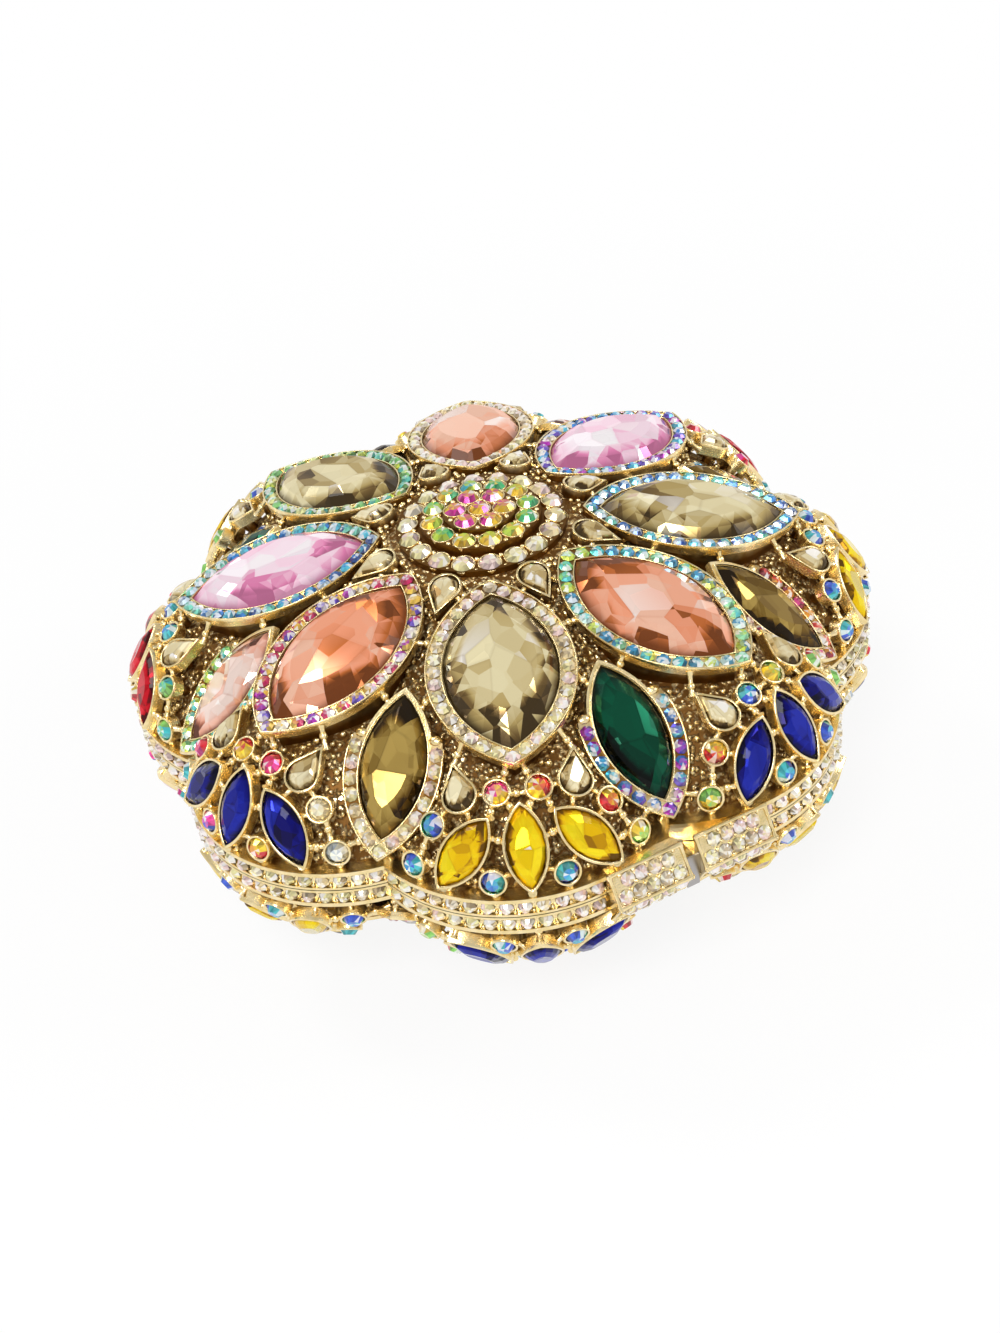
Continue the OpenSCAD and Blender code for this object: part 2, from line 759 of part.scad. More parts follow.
lug_ring_share = 2;
lug_x_share = 0.3;
lug_reach_share = 3;
lug_ring_r = lug_ring_share * lug_eye_r;
lug_x = lug_x_share * lobe_tip_r;
lug_reach = lug_reach_share * lug_eye_r;
lug_wall_y = lobe_d * cos(half_step)
    + sqrt((lobe_r - band_w) ^ 2 - (lug_x - lobe_d * sin(half_step)) ^ 2);

module chain_lugs() {
    color(gold) translate([0, 0, half_h]) difference() {
        union() for (side = [-1, 1]) {
            translate([side * lug_x - lug_t / 2, lug_wall_y - lug_reach, -band_h])
                rotate([0, 90, 0]) cylinder(h = lug_t, r = lug_ring_r, $fn = 48);
            // foot that meets the rim band
            intersection() {
                translate([side * lug_x - lug_t / 2, lug_wall_y - lug_reach, -band_h])
                    cube([lug_t, 2 * lug_reach, lug_ring_r]);
                outline_solid(band_w, -overrun, overrun);
            }
        }
        translate([0, lug_wall_y - lug_reach, -band_h]) rotate([0, 90, 0])
            cylinder(h = 2 * lobe_tip_r, r = lug_eye_r, center = true, $fn = 48);
    }
}

base_half() rim_band(true);  // base_rim_band
base_half() rim_stones();  // base_rim_stones
base_half() shell();  // base_shell
base_half() lining();  // base_lining
base_half() large_bezels();  // base_large_bezels
base_half() medium_bezels();  // base_medium_bezels
base_half() fan_bezels();  // base_fan_bezels
base_half() pear_bezels();  // base_pear_bezels
base_half() round_cups();  // base_round_cups
base_half() rosette();  // base_rosette
base_half() coral_stones();  // base_coral_stones
base_half() tan_stones();  // base_tan_stones
base_half() pink_stones();  // base_pink_stones
base_half() green_stones();  // base_green_stones
base_half() olive_stones();  // base_olive_stones
base_half() peach_stones();  // base_peach_stones
base_half() blue_fan();  // base_blue_fan
base_half() yellow_fan();  // base_yellow_fan
base_half() red_fan();  // base_red_fan
base_half() pear_stones();  // base_pear_stones
base_half() round_stones();  // base_round_stones
base_half() rosette_stones();  // base_rosette_stones
base_half() hinge_leaf(0);  // base_hinge_leaf
base_clasp_block();
chain_lugs();
hinge_pin();
lid_half() rim_band(false);  // lid_rim_band
lid_half() rim_stones();  // lid_rim_stones
lid_half() shell();  // lid_shell
lid_half() lining();  // lid_lining
lid_half() large_bezels();  // lid_large_bezels
lid_half() medium_bezels();  // lid_medium_bezels
lid_half() fan_bezels();  // lid_fan_bezels
lid_half() pear_bezels();  // lid_pear_bezels
lid_half() round_cups();  // lid_round_cups
lid_half() rosette();  // lid_rosette
lid_half() coral_stones();  // lid_coral_stones
lid_half() tan_stones();  // lid_tan_stones
lid_half() pink_stones();  // lid_pink_stones
lid_half() green_stones();  // lid_green_stones
lid_half() olive_stones();  // lid_olive_stones
lid_half() peach_stones();  // lid_peach_stones
lid_half() blue_fan();  // lid_blue_fan
lid_half() yellow_fan();  // lid_yellow_fan
lid_half() red_fan();  // lid_red_fan
lid_half() pear_stones();  // lid_pear_stones
lid_half() round_stones();  // lid_round_stones
lid_half() rosette_stones();  // lid_rosette_stones
lid_half() hinge_leaf(1);  // lid_hinge_leaf
lid_clasp_block();
catch_leaf();
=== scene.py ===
"""Looks of the crystal clutch: cut stones, gold settings, openwork, rim, clasp and stage."""

import math
import random

import bmesh
import bpy
import numpy as np
from mathutils import Matrix, Vector


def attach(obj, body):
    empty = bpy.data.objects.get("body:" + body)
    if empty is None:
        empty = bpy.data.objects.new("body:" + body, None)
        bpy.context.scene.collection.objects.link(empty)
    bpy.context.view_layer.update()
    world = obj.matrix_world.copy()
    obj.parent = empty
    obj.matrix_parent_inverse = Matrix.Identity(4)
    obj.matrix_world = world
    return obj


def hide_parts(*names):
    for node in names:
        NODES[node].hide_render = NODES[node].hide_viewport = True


bl_info = {
    "name": "Crystal clutch",
    "version": (1, 0, 0),
    "blender": (4, 5, 0),
    "location": "View3D > Sidebar > Clutch",
    "description": "Dresses the packed frame of the crystal clutch",
    "category": "Object",
}

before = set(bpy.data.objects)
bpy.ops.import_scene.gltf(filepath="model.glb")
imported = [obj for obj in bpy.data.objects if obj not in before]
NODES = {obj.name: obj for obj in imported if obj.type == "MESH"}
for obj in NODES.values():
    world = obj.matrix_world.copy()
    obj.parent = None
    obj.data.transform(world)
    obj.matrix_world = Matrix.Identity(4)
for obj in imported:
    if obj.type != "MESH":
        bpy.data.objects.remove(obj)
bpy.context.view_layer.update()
MM = 0.001


# Driving sizes, the same as the frame's, in millimetres and degrees

HALF_H = 37
TIP_R, NOTCH_R = 76, 67.8
BAND_H, LEDGE = 4.2, 1.5
LOBES, LOBE_STEP, FIRST_LOBE = range(8), 45, -67.5
DOME_DROP, DOME_FOOT_SHARE, SWELL_SHARE = 3.5, 0.948, 0.657
BEAD_SHARE, BEAD_INSET_SHARE, BEAD_RISE_SHARE = 0.6, 1.65, 0.24
SMALL_LIFT = 2.7

# Length and width of the pointed stones, and radius of the round ones
LARGE, MEDIUM, FAN, PEAR = (36.5, 21.2), (26.6, 12.8), (15, 7), (8.4, 5.6)
ROUND_R, ROSETTE_R, RIM_STONE_R = 2.05, 2.1, 1.35
STONE_GAP = 0.02

# Share of the outline's radius, lift over the dome and tilt
LARGE_SEAT, MEDIUM_SEAT = (0.548, 5.7, 11.5), (0.8351, 6.3, 40.7)
INNER_PEAR_SHARE, INNER_PEAR_LIFT = 0.3363, 0.75 * SMALL_LIFT

# Degrees round a lobe, degrees up its side and spin
FAN_PLACES = ((0, 34, 0), (22.3, 31.5, 32), (-22.3, 31.5, -32))
PEAR_PLACES = ((29, 60, 150), (-29, 60, -150))
ROUND_PLACES = (
    (10, 60), (-10, 60), (35.6, 41), (-35.6, 41),
    (40.5, 20), (-40.5, 20), (12.1, 18.5), (-12.1, 18.5),
)
CORAL_LOBES, TAN_LOBES, PINK_LOBES = (0, 3, 6), (1, 4, 7), (2, 5)
GREEN_NOTCHES, OLIVE_NOTCHES, PEACH_NOTCHES = (0, 5), (1, 2, 4, 7), (3, 6)

# Rings of the rosette, from the middle outwards
RING_COUNTS = (1, 6, 12, 18)
RING_RADII = (0, 4.89, 9.66, 14.7)
RING_DROPS = (0, 0, 0.98, 2.8)
RING_TILTS = (0, 0, 3, 12)
RING_SEAT = 0.8

RIM_COUNT, RIM_FOOT, CHANNEL_DEPTH = 18, 0.63, 0.7
CLASP_REACH, HINGE_REACH = 17.4, 13.4


def arc_radius(reach, rise):
    """Radius of an arc that rises by rise over a chord of twice reach."""
    return (reach**2 + rise**2) / (2 * rise)


LOBE_D = (TIP_R**2 - NOTCH_R**2) / (2 * (TIP_R - NOTCH_R * math.cos(math.radians(LOBE_STEP / 2))))
LOBE_R = TIP_R - LOBE_D
DOME_APEX = HALF_H - DOME_DROP
DOME_R = arc_radius(DOME_FOOT_SHARE * NOTCH_R, DOME_APEX - BAND_H)
SWELL_TOP = SWELL_SHARE * DOME_APEX
SWELL_R = arc_radius(LOBE_R - 2 * LEDGE, SWELL_TOP - BAND_H)
BEAD_R = LOBE_R * BEAD_SHARE
BEAD_D = LOBE_R - BEAD_R - BEAD_INSET_SHARE * LEDGE
BEAD_Z = BAND_H * BEAD_RISE_SHARE


# Places


def shift(x, y, z):
    return Matrix.Translation(Vector((x, y, z)) * MM)


def turn(degrees, axis):
    return Matrix.Rotation(math.radians(degrees), 4, axis)


HALVES = {"base": shift(0, 0, HALF_H) @ turn(180, "Y"), "lid": shift(0, 0, HALF_H)}


def ball_z(top, radius, flat2):
    """Height of a ball's face over a point at a squared distance from its axis, or the band's height."""
    return top - radius + math.sqrt(radius**2 - flat2) if flat2 < radius**2 else BAND_H


def shell_z(x, y):
    """Height of the shell's outer face over a point, or None outside its foot."""
    heights = [ball_z(DOME_APEX, DOME_R, x * x + y * y)]
    for k in LOBES:
        a = math.radians(FIRST_LOBE + LOBE_STEP * k)
        flat2 = (x - LOBE_D * math.cos(a)) ** 2 + (y - LOBE_D * math.sin(a)) ** 2
        heights.append(ball_z(SWELL_TOP, SWELL_R, flat2))
    return max(heights) if max(heights) > BAND_H else None


def lobe(k):
    return turn(FIRST_LOBE + LOBE_STEP * k, "Z")


def notch(k):
    return lobe(k - 0.5)


def seat(way, outline_r, share, lift, tilt):
    """A place over the dome, out along a lobe or a notch."""
    r = outline_r * share
    return way @ shift(r, 0, ball_z(DOME_APEX, DOME_R, r**2) + lift) @ turn(tilt, "Y")


def bead_place(k, round_lobe, up, spin=0):
    """A place on the side of a lobe, over the ball that the small settings follow."""
    return (
        lobe(k) @ shift(LOBE_D, 0, 0) @ turn(round_lobe, "Z") @ shift(BEAD_D, 0, BEAD_Z)
        @ turn(90 - up, "Y") @ shift(0, 0, BEAD_R + SMALL_LIFT) @ turn(spin, "Z")
    )


def inner_pear_place(k):
    lean = math.degrees(math.asin(NOTCH_R * INNER_PEAR_SHARE / DOME_R))
    return (
        notch(k) @ shift(0, 0, DOME_APEX - DOME_R) @ turn(lean, "Y")
        @ shift(0, 0, DOME_R + INNER_PEAR_LIFT)
    )


def ring_place(ring, i):
    floor = HALF_H - ROSETTE_R * RING_SEAT
    return (
        turn((i + 0.5) * 360 / RING_COUNTS[ring], "Z")
        @ shift(RING_RADII[ring], 0, floor - RING_DROPS[ring]) @ turn(RING_TILTS[ring], "Y")
    )


def rim_places():
    """Where the rim stones of one half stand, clear of the clasp and the hinge."""
    a = math.radians(LOBE_STEP / 2)
    span = 2 * math.degrees(math.atan2(NOTCH_R * math.sin(a), NOTCH_R * math.cos(a) - LOBE_D))
    row = []
    for k in LOBES:
        for i in range(RIM_COUNT):
            t = (i + 0.5) * span / RIM_COUNT - span / 2
            spot = lobe(k) @ shift(LOBE_D, 0, RIM_FOOT + RIM_STONE_R) @ turn(t, "Z")
            at = spot @ Vector((LOBE_R * MM, 0, 0)) / MM
            near_clasp = at.y < -LOBE_D and abs(at.x) < CLASP_REACH
            near_hinge = at.y > LOBE_D and abs(at.x) < HINGE_REACH
            if not near_clasp and not near_hinge:
                row.append(spot @ shift(LOBE_R - CHANNEL_DEPTH, 0, 0) @ turn(90, "Y"))
    return row


# Places of the settings of one half, by kind and then by lobe
SETTINGS = {
    "large": [[seat(lobe(k), TIP_R, *LARGE_SEAT)] for k in LOBES],
    "medium": [[seat(notch(k), NOTCH_R, *MEDIUM_SEAT)] for k in LOBES],
    "fan": [[bead_place(k, *p) for p in FAN_PLACES] for k in LOBES],
    "pear": [[bead_place(k, *p) for p in PEAR_PLACES] for k in LOBES],
    "round": [[bead_place(k, *p) for p in ROUND_PLACES] for k in LOBES],
    "inner_pear": [[inner_pear_place(k)] for k in LOBES],
}
ROSETTE = [ring_place(ring, i) for ring, count in enumerate(RING_COUNTS) for i in range(count)]


def places(kind, lobes=LOBES):
    return [place for k in lobes for place in SETTINGS[kind][k]]


# Settings that a user changes


def colour(name, description, value):
    return bpy.props.FloatVectorProperty(
        name=name, description=description, default=value, size=3, min=0, max=1, subtype="COLOR"
    )


def length(name, description, millimetres):
    return bpy.props.FloatProperty(
        name=name, description=description, default=millimetres * MM, min=0,
        unit="LENGTH", precision=5,
    )


class ClutchSizes(bpy.types.PropertyGroup):
    halo_stone_r: length("Halo stone", "Radius of a small stone round a large one", 1.42)
    halo_h: length("Halo stone height", "Height of a small stone over its flange", 0.95)
    wire_w: length("Wire width", "Width of the gold wire round a setting", 0.5)
    wire_h: length("Wire height", "Height of the gold wire over a flange", 0.55)
    grain_gap: length("Grain spacing", "Distance between the gold grains on the shell", 1.25)
    grain_r: length("Grain", "Radius of a gold grain on the shell", 0.60)
    strut_r: length("Strut", "Radius of a strut between two settings", 0.48)
    strut_reach: length("Strut reach", "Widest gap between settings that a strut crosses", 4.6)


class ClutchColours(bpy.types.PropertyGroup):
    gold: colour("Gold", "Plated metal", (0.90, 0.75, 0.44))
    # Painted shade: a dark brown that stands in for the shade deep between the settings and in the shell's
    # hollows.
    recess_shade: colour("Recess", "Metal deep between the settings", (0.165, 0.073, 0.012))
    coral: colour("Coral", "Large coral stones", (0.88, 0.33, 0.18))
    tan: colour("Smoky tan", "Large smoky stones", (0.48, 0.355, 0.13))
    pink: colour("Pink", "Large pink stones", (0.95, 0.60, 0.74))
    green: colour("Green", "Green notch stones", (0.0, 0.020, 0.011))
    olive: colour("Olive", "Olive notch stones", (0.155, 0.084, 0.010))
    peach: colour("Peach", "Peach notch stones", (0.84, 0.40, 0.28))
    blue: colour("Blue", "Blue fans", (0.002, 0.002, 0.15))
    yellow: colour("Yellow", "Yellow fans", (0.80, 0.50, 0.0))
    red: colour("Red", "Red fans", (0.52, 0.001, 0.010))
    pear: colour("Pear", "Small smoky pears", (0.54, 0.40, 0.17))
    lining: colour("Lining", "Leatherette inside", (0.50, 0.33, 0.13))


def sizes():
    return bpy.context.scene.clutch_sizes


def colours():
    return bpy.context.scene.clutch_colours


# Shader building


class Wire:
    """A value socket of a material. Arithmetic on it adds Math nodes."""

    def __init__(self, tree, socket):
        self.tree, self.socket = tree, socket

    def math(self, operation, other=None, swap=False, clamp=False):
        node = self.tree.nodes.new("ShaderNodeMath")
        node.operation, node.use_clamp = operation, clamp
        terms = [self] if other is None else [other, self] if swap else [self, other]
        for socket, term in zip(node.inputs, terms):
            plug(self.tree, socket, term)
        return Wire(self.tree, node.outputs[0])

    def __add__(self, other):
        return self.math("ADD", other)

    def __sub__(self, other):
        return self.math("SUBTRACT", other)

    def __rsub__(self, other):
        return self.math("SUBTRACT", other, swap=True)

    def __mul__(self, other):
        return self.math("MULTIPLY", other)

    def __truediv__(self, other):
        return self.math("DIVIDE", other)

    def __gt__(self, other):
        return self.math("GREATER_THAN", other)

    __radd__, __rmul__ = __add__, __mul__

    def clamp(self):
        return self.math("ADD", 0.0, clamp=True)


def plug(tree, socket, value):
    if isinstance(value, Wire):
        tree.links.new(value.socket, socket)
    elif hasattr(value, "__len__") and len(value) == 3 and socket.type == "RGBA":
        socket.default_value = (*value, 1)
    else:
        socket.default_value = value


def scaled(shade, *gains):
    """A colour with each channel times its own gain, or all times one."""
    gains = gains if len(gains) > 1 else gains * 3
    return tuple(v * gain for v, gain in zip(shade, gains))


def hit_directly(tree):
    """1 for rays that show a face to the camera, a mirror or glass, and 0 for those that light it."""
    path = tree.nodes.new("ShaderNodeLightPath")
    camera, glossy, through = (
        Wire(tree, path.outputs[f"Is {kind} Ray"]) for kind in ("Camera", "Glossy", "Transmission")
    )
    return (camera + glossy + through).clamp()


class Finish:
    """A material with one Principled shader."""

    def __init__(self, name, **constants):
        self.material = bpy.data.materials.new(name)
        self.material.use_nodes = True
        self.tree = self.material.node_tree
        self.tree.nodes.clear()
        self.shader = self.tree.nodes.new("ShaderNodeBsdfPrincipled")
        self.out = self.tree.nodes.new("ShaderNodeOutputMaterial")
        self.tree.links.new(self.shader.outputs[0], self.out.inputs["Surface"])
        self.set(**constants)

    def set(self, **sockets):
        """Sets or links sockets of the shader, such as base_color=..., coat_weight=1."""
        for name, value in sockets.items():
            socket = name.replace("_", " ").title().replace("Ior", "IOR")
            plug(self.tree, self.shader.inputs[socket], value)

    def node(self, kind, settings=None, sockets=None, output=0):
        """Adds a node: its settings first, then the values or links of its sockets."""
        node = self.tree.nodes.new("ShaderNode" + kind)
        for name, value in (settings or {}).items():
            setattr(node, name, value)
        for name, value in (sockets or {}).items():
            plug(self.tree, node.inputs[name], value)
        return Wire(self.tree, node.outputs[output])

    def ramp(self, level, stops):
        """A colour that goes through the stops, each a level and a colour."""
        tone = self.node("ValToRGB", sockets={0: level})
        elements = tone.socket.node.color_ramp.elements
        while len(elements) < len(stops):
            elements.new(0.5)
        for element, (position, shade) in zip(elements, stops):
            element.position, element.color = position, (*shade, 1)
        return tone

    def vector(self, operation, first, second):
        return self.node("VectorMath", {"operation": operation}, {0: first, 1: second})

    def scale(self, vector, factor):
        return self.node("VectorMath", {"operation": "SCALE"}, {0: vector, "Scale": factor})

    def place(self):
        """Object coordinates in millimetres."""
        return self.scale(self.node("TexCoord", output=3), 1 / MM)

    def attribute(self, name, output=1):
        return self.node("Attribute", {"attribute_name": name}, output=output)

    def mix(self, share, first, second):
        """From one colour to the other as share goes from 0 to 1."""
        return self.node("Mix", {"data_type": "RGBA"}, {0: share, 6: first, 7: second}, output=2)

    def parts(self, vector):
        return (self.node("SeparateXYZ", sockets={0: vector}, output=axis) for axis in range(3))

    def smooth(self, value, low, high):
        """0 below low, 1 above high, and a smooth step between."""
        return self.node(
            "MapRange", {"interpolation_type": "SMOOTHSTEP"}, {0: value, 1: low, 2: high}
        )

    def noise(self, scale, detail=3, vector=None, roughness=0.5):
        return self.node("TexNoise", sockets={
            "Vector": vector or self.place(), "Scale": scale, "Detail": detail, "Roughness": roughness,
        })

    def cells(self, vector, scale=1.0, feature="F1", output=0):
        return self.node("TexVoronoi", {"feature": feature}, {"Vector": vector, "Scale": scale}, output)

    def bump(self, height, strength, distance):
        return self.node("Bump", sockets={"Height": height, "Strength": strength, "Distance": distance})

    def above_shell(self, half):
        """Height over the shell, dome and swells alike, in millimetres."""
        way = 1 if half == "lid" else -1
        x, y, z = self.parts(self.place())
        up = (z - HALF_H) * way
        flat = (x * x + y * y).math("SQRT")
        round_lobe = y.math("ARCTAN2", x) - math.radians(FIRST_LOBE)
        step = math.radians(LOBE_STEP / 2)
        folded = self.node("Math", {"operation": "WRAP"}, {0: round_lobe, 1: step, 2: -step})
        out, along = flat * folded.math("COSINE") - LOBE_D, flat * folded.math("SINE")
        side = (out * out + along * along).math("SQRT")
        over_dome = self.over_ball(flat, up, DOME_APEX, DOME_R)
        return over_dome.math("MINIMUM", self.over_ball(side, up, SWELL_TOP, SWELL_R))

    def over_ball(self, flat, up, top, radius):
        rise = up - (top - radius)
        return (flat * flat + rise * rise).math("SQRT") - radius


def gold_finish(name, half=None, deep=(0, 1), shine=0.2):
    """Light gold plating. On a half it darkens between two heights over the shell, with painted shade in the
    recess colour.
    """
    f = Finish(name, metallic=1.0)
    c = colours()
    mottle, fine = f.noise(0.45, 4), f.noise(3.5, 3)
    pale = tuple(min(1, v * 1.06 + 0.04) for v in c.gold)
    warm = scaled(c.gold, 0.90, 0.82, 0.58)
    tone = f.mix(f.smooth(mottle, 0.30, 0.68) * 0.6 + 0.25, warm, pale)
    if half:
        # Painted shade: low over the shell the gold turns to the recess colour.
        depth = f.smooth(f.above_shell(half) + (mottle - 0.5) * 1.5, *deep)
        tone = f.mix(depth, tuple(c.recess_shade), tone)
        f.set(base_color=tone, roughness=0.42 - depth * 0.2 + fine * 0.08)
    else:
        f.set(base_color=tone, roughness=shine - 0.05 + fine * 0.12)
    f.set(normal=f.bump(fine + mottle * 0.8, 0.25, 0.0002))
    return f.material


def gem_finish(name, tint, glow, shade, cell, reach, flash, depth=0.28, edge=0.14, lines=0.3):
    """Foiled glass: a mosaic of straight-edged patches seen through a clear polished face. Their random
    light and dark are painted reflections of the foil over the glass's own tint, with painted white
    highlights and painted shade at the tips, the belt and the girdle.
    glow and shade are its brightest and darkest patches, cell the patches' size, reach its length.
    The attribute cut holds a stone's own x and y in millimetres and its distance from the girdle."""
    f = Finish(name, roughness=0.08, ior=1.5, specular_ior_level=0.1,
               coat_weight=0.2, coat_roughness=0.012, coat_ior=1.5)
    seed = f.attribute("seed", 2)
    x, y, inward = f.parts(f.attribute("cut"))
    spot = f.node("CombineXYZ", sockets={0: x / (cell * 1.5), 1: y / cell, 2: seed * 7.3})
    fine_spot = f.node("CombineXYZ", sockets={0: x / (cell * 0.8), 1: y / (cell * 0.62), 2: seed * 3.1 + 9})
    coarse, small = f.cells(spot, output=1), f.cells(fine_spot, output=1)
    seam = f.cells(spot, feature="DISTANCE_TO_EDGE")
    coarse_red, coarse_green, _ = f.parts(coarse)
    small_red, small_green, _ = f.parts(small)

    # Painted shade: the pointed ends darken.
    tip = f.smooth(x.math("ABSOLUTE") / (reach / 2) + (coarse_red - 0.5) * 0.3, 0.55, 0.95)
    # The belt round the girdle gets finer patches and painted shade.
    belt = 1 - f.smooth(inward + (small_red - 0.5) * 0.26, 0.10, 0.36)
    patch = coarse_red * (0.54 - belt * 0.26) + small_red * (0.28 + belt * 0.30)
    level = patch + f.attribute("facet", 2) * 0.18 - tip * 0.16 - belt * 0.27 + 0.13
    deep = scaled(shade, depth)
    bright = tuple(a * 0.55 + b * 0.45 for a, b in zip(tint, glow))
    tone = f.ramp(level, ((0.15, deep), (0.28, shade), (0.42, tint), (0.62, bright), (0.80, glow)))

    middle = f.smooth(inward, 0.30, 0.60)
    # Painted highlights: a few near-white patches near the middle.
    painted_highlight = (coarse_green * 0.6 + small_green * 0.4 > flash) * middle
    tone = f.mix(painted_highlight * 0.9, tone, (1.0, 0.97, 0.94))
    tone = f.mix((1 - f.smooth(seam, 0.0, 0.05)) * middle * lines, tone, shade)
    # Painted shade along the girdle.
    tone = f.mix(f.smooth(inward + (small_red - 0.5) * edge * 0.5, 0.0, edge), deep, tone)
    tilt = f.scale(f.vector("SUBTRACT", coarse, (0.5, 0.5, 0.5)), 0.42)
    leaning = f.vector("ADD", f.node("NewGeometry", output=1), tilt)
    normal = f.node("VectorMath", {"operation": "NORMALIZE"}, {0: leaning})
    f.set(base_color=tone, metallic=0.35 + small_red * 0.2, normal=normal)
    return f.material


def rainbow_finish(name, metallic=0.45):
    """Small coated stones: the attribute tint holds the colour of each facet, with its painted highlights
    and painted shade.
    """
    f = Finish(name, roughness=0.10, ior=1.5, specular_ior_level=0.3,
               coat_weight=0.5, coat_roughness=0.02, coat_ior=1.5)
    haze = f.noise(0.9, 2)
    tone = f.mix(f.smooth(haze, 0.3, 0.7) * 0.08, f.attribute("tint", 0), (1.0, 0.96, 0.92))
    f.set(base_color=tone, metallic=metallic + haze * 0.2)
    return f.material


# Modelling


def select_all():
    bpy.ops.mesh.select_all(action="SELECT")


def slide(x=0, y=0, z=0):
    """Moves what is selected, in millimetres."""
    bpy.ops.transform.translate(value=(x * MM, y * MM, z * MM))


def extrude(x=0, z=0):
    """Draws new faces out of what is selected, in millimetres."""
    bpy.ops.mesh.extrude_region_move(TRANSFORM_OT_translate={"value": (x * MM, 0, z * MM)})


def start():
    """Deselects everything, so that the next primitive stands alone."""
    if bpy.context.object and bpy.context.object.mode != "OBJECT":
        bpy.ops.object.mode_set(mode="OBJECT")
    bpy.ops.object.select_all(action="DESELECT")


def edit(obj=None):
    """Opens an object, or the one that was added last, to pick its faces."""
    bpy.context.view_layer.objects.active = obj or bpy.context.object
    bpy.ops.object.mode_set(mode="EDIT")
    bpy.context.tool_settings.mesh_select_mode = (False, False, True)


def pick(test, kind="faces"):
    """Selects what passes the test in edit mode: faces by their middle and normal, edges by their middle."""
    mesh = bmesh.from_edit_mesh(bpy.context.object.data)
    bpy.context.tool_settings.mesh_select_mode = (False, kind == "edges", kind == "faces")
    for item in (*mesh.verts, *mesh.edges, *mesh.faces):
        item.select = False
    for item in getattr(mesh, kind):
        if kind == "faces":
            chosen = test(item.calc_center_median(), item.normal)
        else:
            chosen = test((item.verts[0].co + item.verts[1].co) / 2, item)
        if chosen:
            item.select_set(True)
    mesh.select_flush_mode()
    bmesh.update_edit_mesh(bpy.context.object.data)


def by_place(face):
    """One number for a face's middle, to the micrometre."""
    x, y, z = (round(v / MM * 1000) for v in face.calc_center_median())
    return (x * 1e5 + y) * 1e5 + z


def done(smooth=None):
    """Leaves edit mode with the faces turned outward, and smooth below an angle if one is given.
    The faces are put in order, since Blender numbers them differently each time that it runs."""
    select_all()
    bpy.ops.mesh.normals_make_consistent(inside=False)
    mesh = bmesh.from_edit_mesh(bpy.context.object.data)
    mesh.faces.sort(key=by_place)
    bmesh.update_edit_mesh(bpy.context.object.data)
    bpy.ops.object.mode_set(mode="OBJECT")
    if smooth is not None:
        bpy.ops.object.shade_smooth_by_angle(angle=math.radians(smooth))
    return bpy.context.object


def disc(r, vertices):
    """A flat round face in edit mode."""
    start()
    bpy.ops.mesh.primitive_circle_add(vertices=vertices, radius=r * MM, fill_type="NGON")
    edit()
    select_all()


def lens(size, grow, steps):
    """A flat pointed oval between two arcs, grown by grow, as one face in edit mode."""
    long, wide = size
    bow = arc_radius(long / 2, wide / 2)
    r = bow + grow
    arc = 2 * math.acos((bow - wide / 2) / r)
    disc(r, max(12, round(steps * 2 * math.pi / arc)))
    slide(y=wide / 2 - bow)
    bpy.ops.mesh.bisect(plane_co=(0, 0, 0), plane_no=(0, 1, 0), clear_inner=True, use_fill=False)
    select_all()
    bpy.ops.mesh.symmetrize(direction="POSITIVE_Y")
    pick(lambda at, edge: abs(at.y) < 1e-7 and edge.calc_length() > 1e-4, "edges")
    bpy.ops.mesh.dissolve_edges(use_verts=False)
    select_all()


def pear_curve(grow):
    """A pear's round end: its radius, how far the tip stands from it, its place and its half angle."""
    long, wide = PEAR
    r = wide / 2 + grow
    tip = (long - wide / 2) * r / (wide / 2)
    return r, tip, long / 2 - wide / 2, math.acos(r / tip)


def pear_outline(grow, steps=18):
    """A flat pear with its tip towards +X, as one face in edit mode."""
    r, tip, middle, reach = pear_curve(grow)
    disc(r, steps)
    bpy.context.tool_settings.mesh_select_mode = (True, False, False)
    bpy.ops.mesh.select_all(action="DESELECT")
    mesh = bmesh.from_edit_mesh(bpy.context.object.data)
    for vert in mesh.verts:
        vert.select_set(abs(math.atan2(vert.co.y, vert.co.x)) < reach)
    bmesh.update_edit_mesh(bpy.context.object.data)
    bpy.ops.mesh.merge(type="CENTER")
    mesh = bmesh.from_edit_mesh(bpy.context.object.data)
    here = max(vert.co.x for vert in mesh.verts)
    bpy.ops.transform.translate(value=(tip * MM - here, 0, 0))
    bpy.context.tool_settings.mesh_select_mode = (False, False, True)
    select_all()
    slide(x=-middle)


def rise(height, share=1.0):
    """Extrudes the selected face upwards and draws its new edge in to a share of its size."""
    extrude(z=height)
    if share != 1.0:
        bpy.ops.transform.resize(value=(share, share, 1), center_override=(0, 0, 0), orient_type="GLOBAL")


def cut_gem(girdle, crown, table):
    """Turns the outline in edit mode into a stone: girdle, two rows of crown facets and a table."""
    lower_rise, lower_draw = 0.62, 0.42
    slide(z=-girdle)
    rise(girdle)
    first = 1 - (1 - table) * lower_draw
    rise(crown * lower_rise, first)
    rise(crown * (1 - lower_rise), table / first)
    pick(lambda at, normal: at.z > 1e-6 and normal.z < 0.985)
    bpy.ops.mesh.quads_convert_to_tris(quad_method="SHORTEST_DIAGONAL")
    return done()


def mark_cut(obj, size):
    """Writes a stone's own x and y and its distance from the girdle as the attribute cut."""
    data = obj.data
    co = np.empty(len(data.vertices) * 3)
    data.vertices.foreach_get("co", co)
    co = co.reshape(-1, 3) / MM
    long, wide = size
    flat = np.abs(co[:, 0]) / (long / 2) + (co[:, 1] / (wide / 2)) ** 2
    inward = np.clip(1 - flat, 0, 1)
    cut = data.attributes.new("cut", "FLOAT_VECTOR", "POINT")
    cut.data.foreach_set("vector", np.stack([co[:, 0], co[:, 1], inward], 1).astype(np.float32).ravel())
    return obj


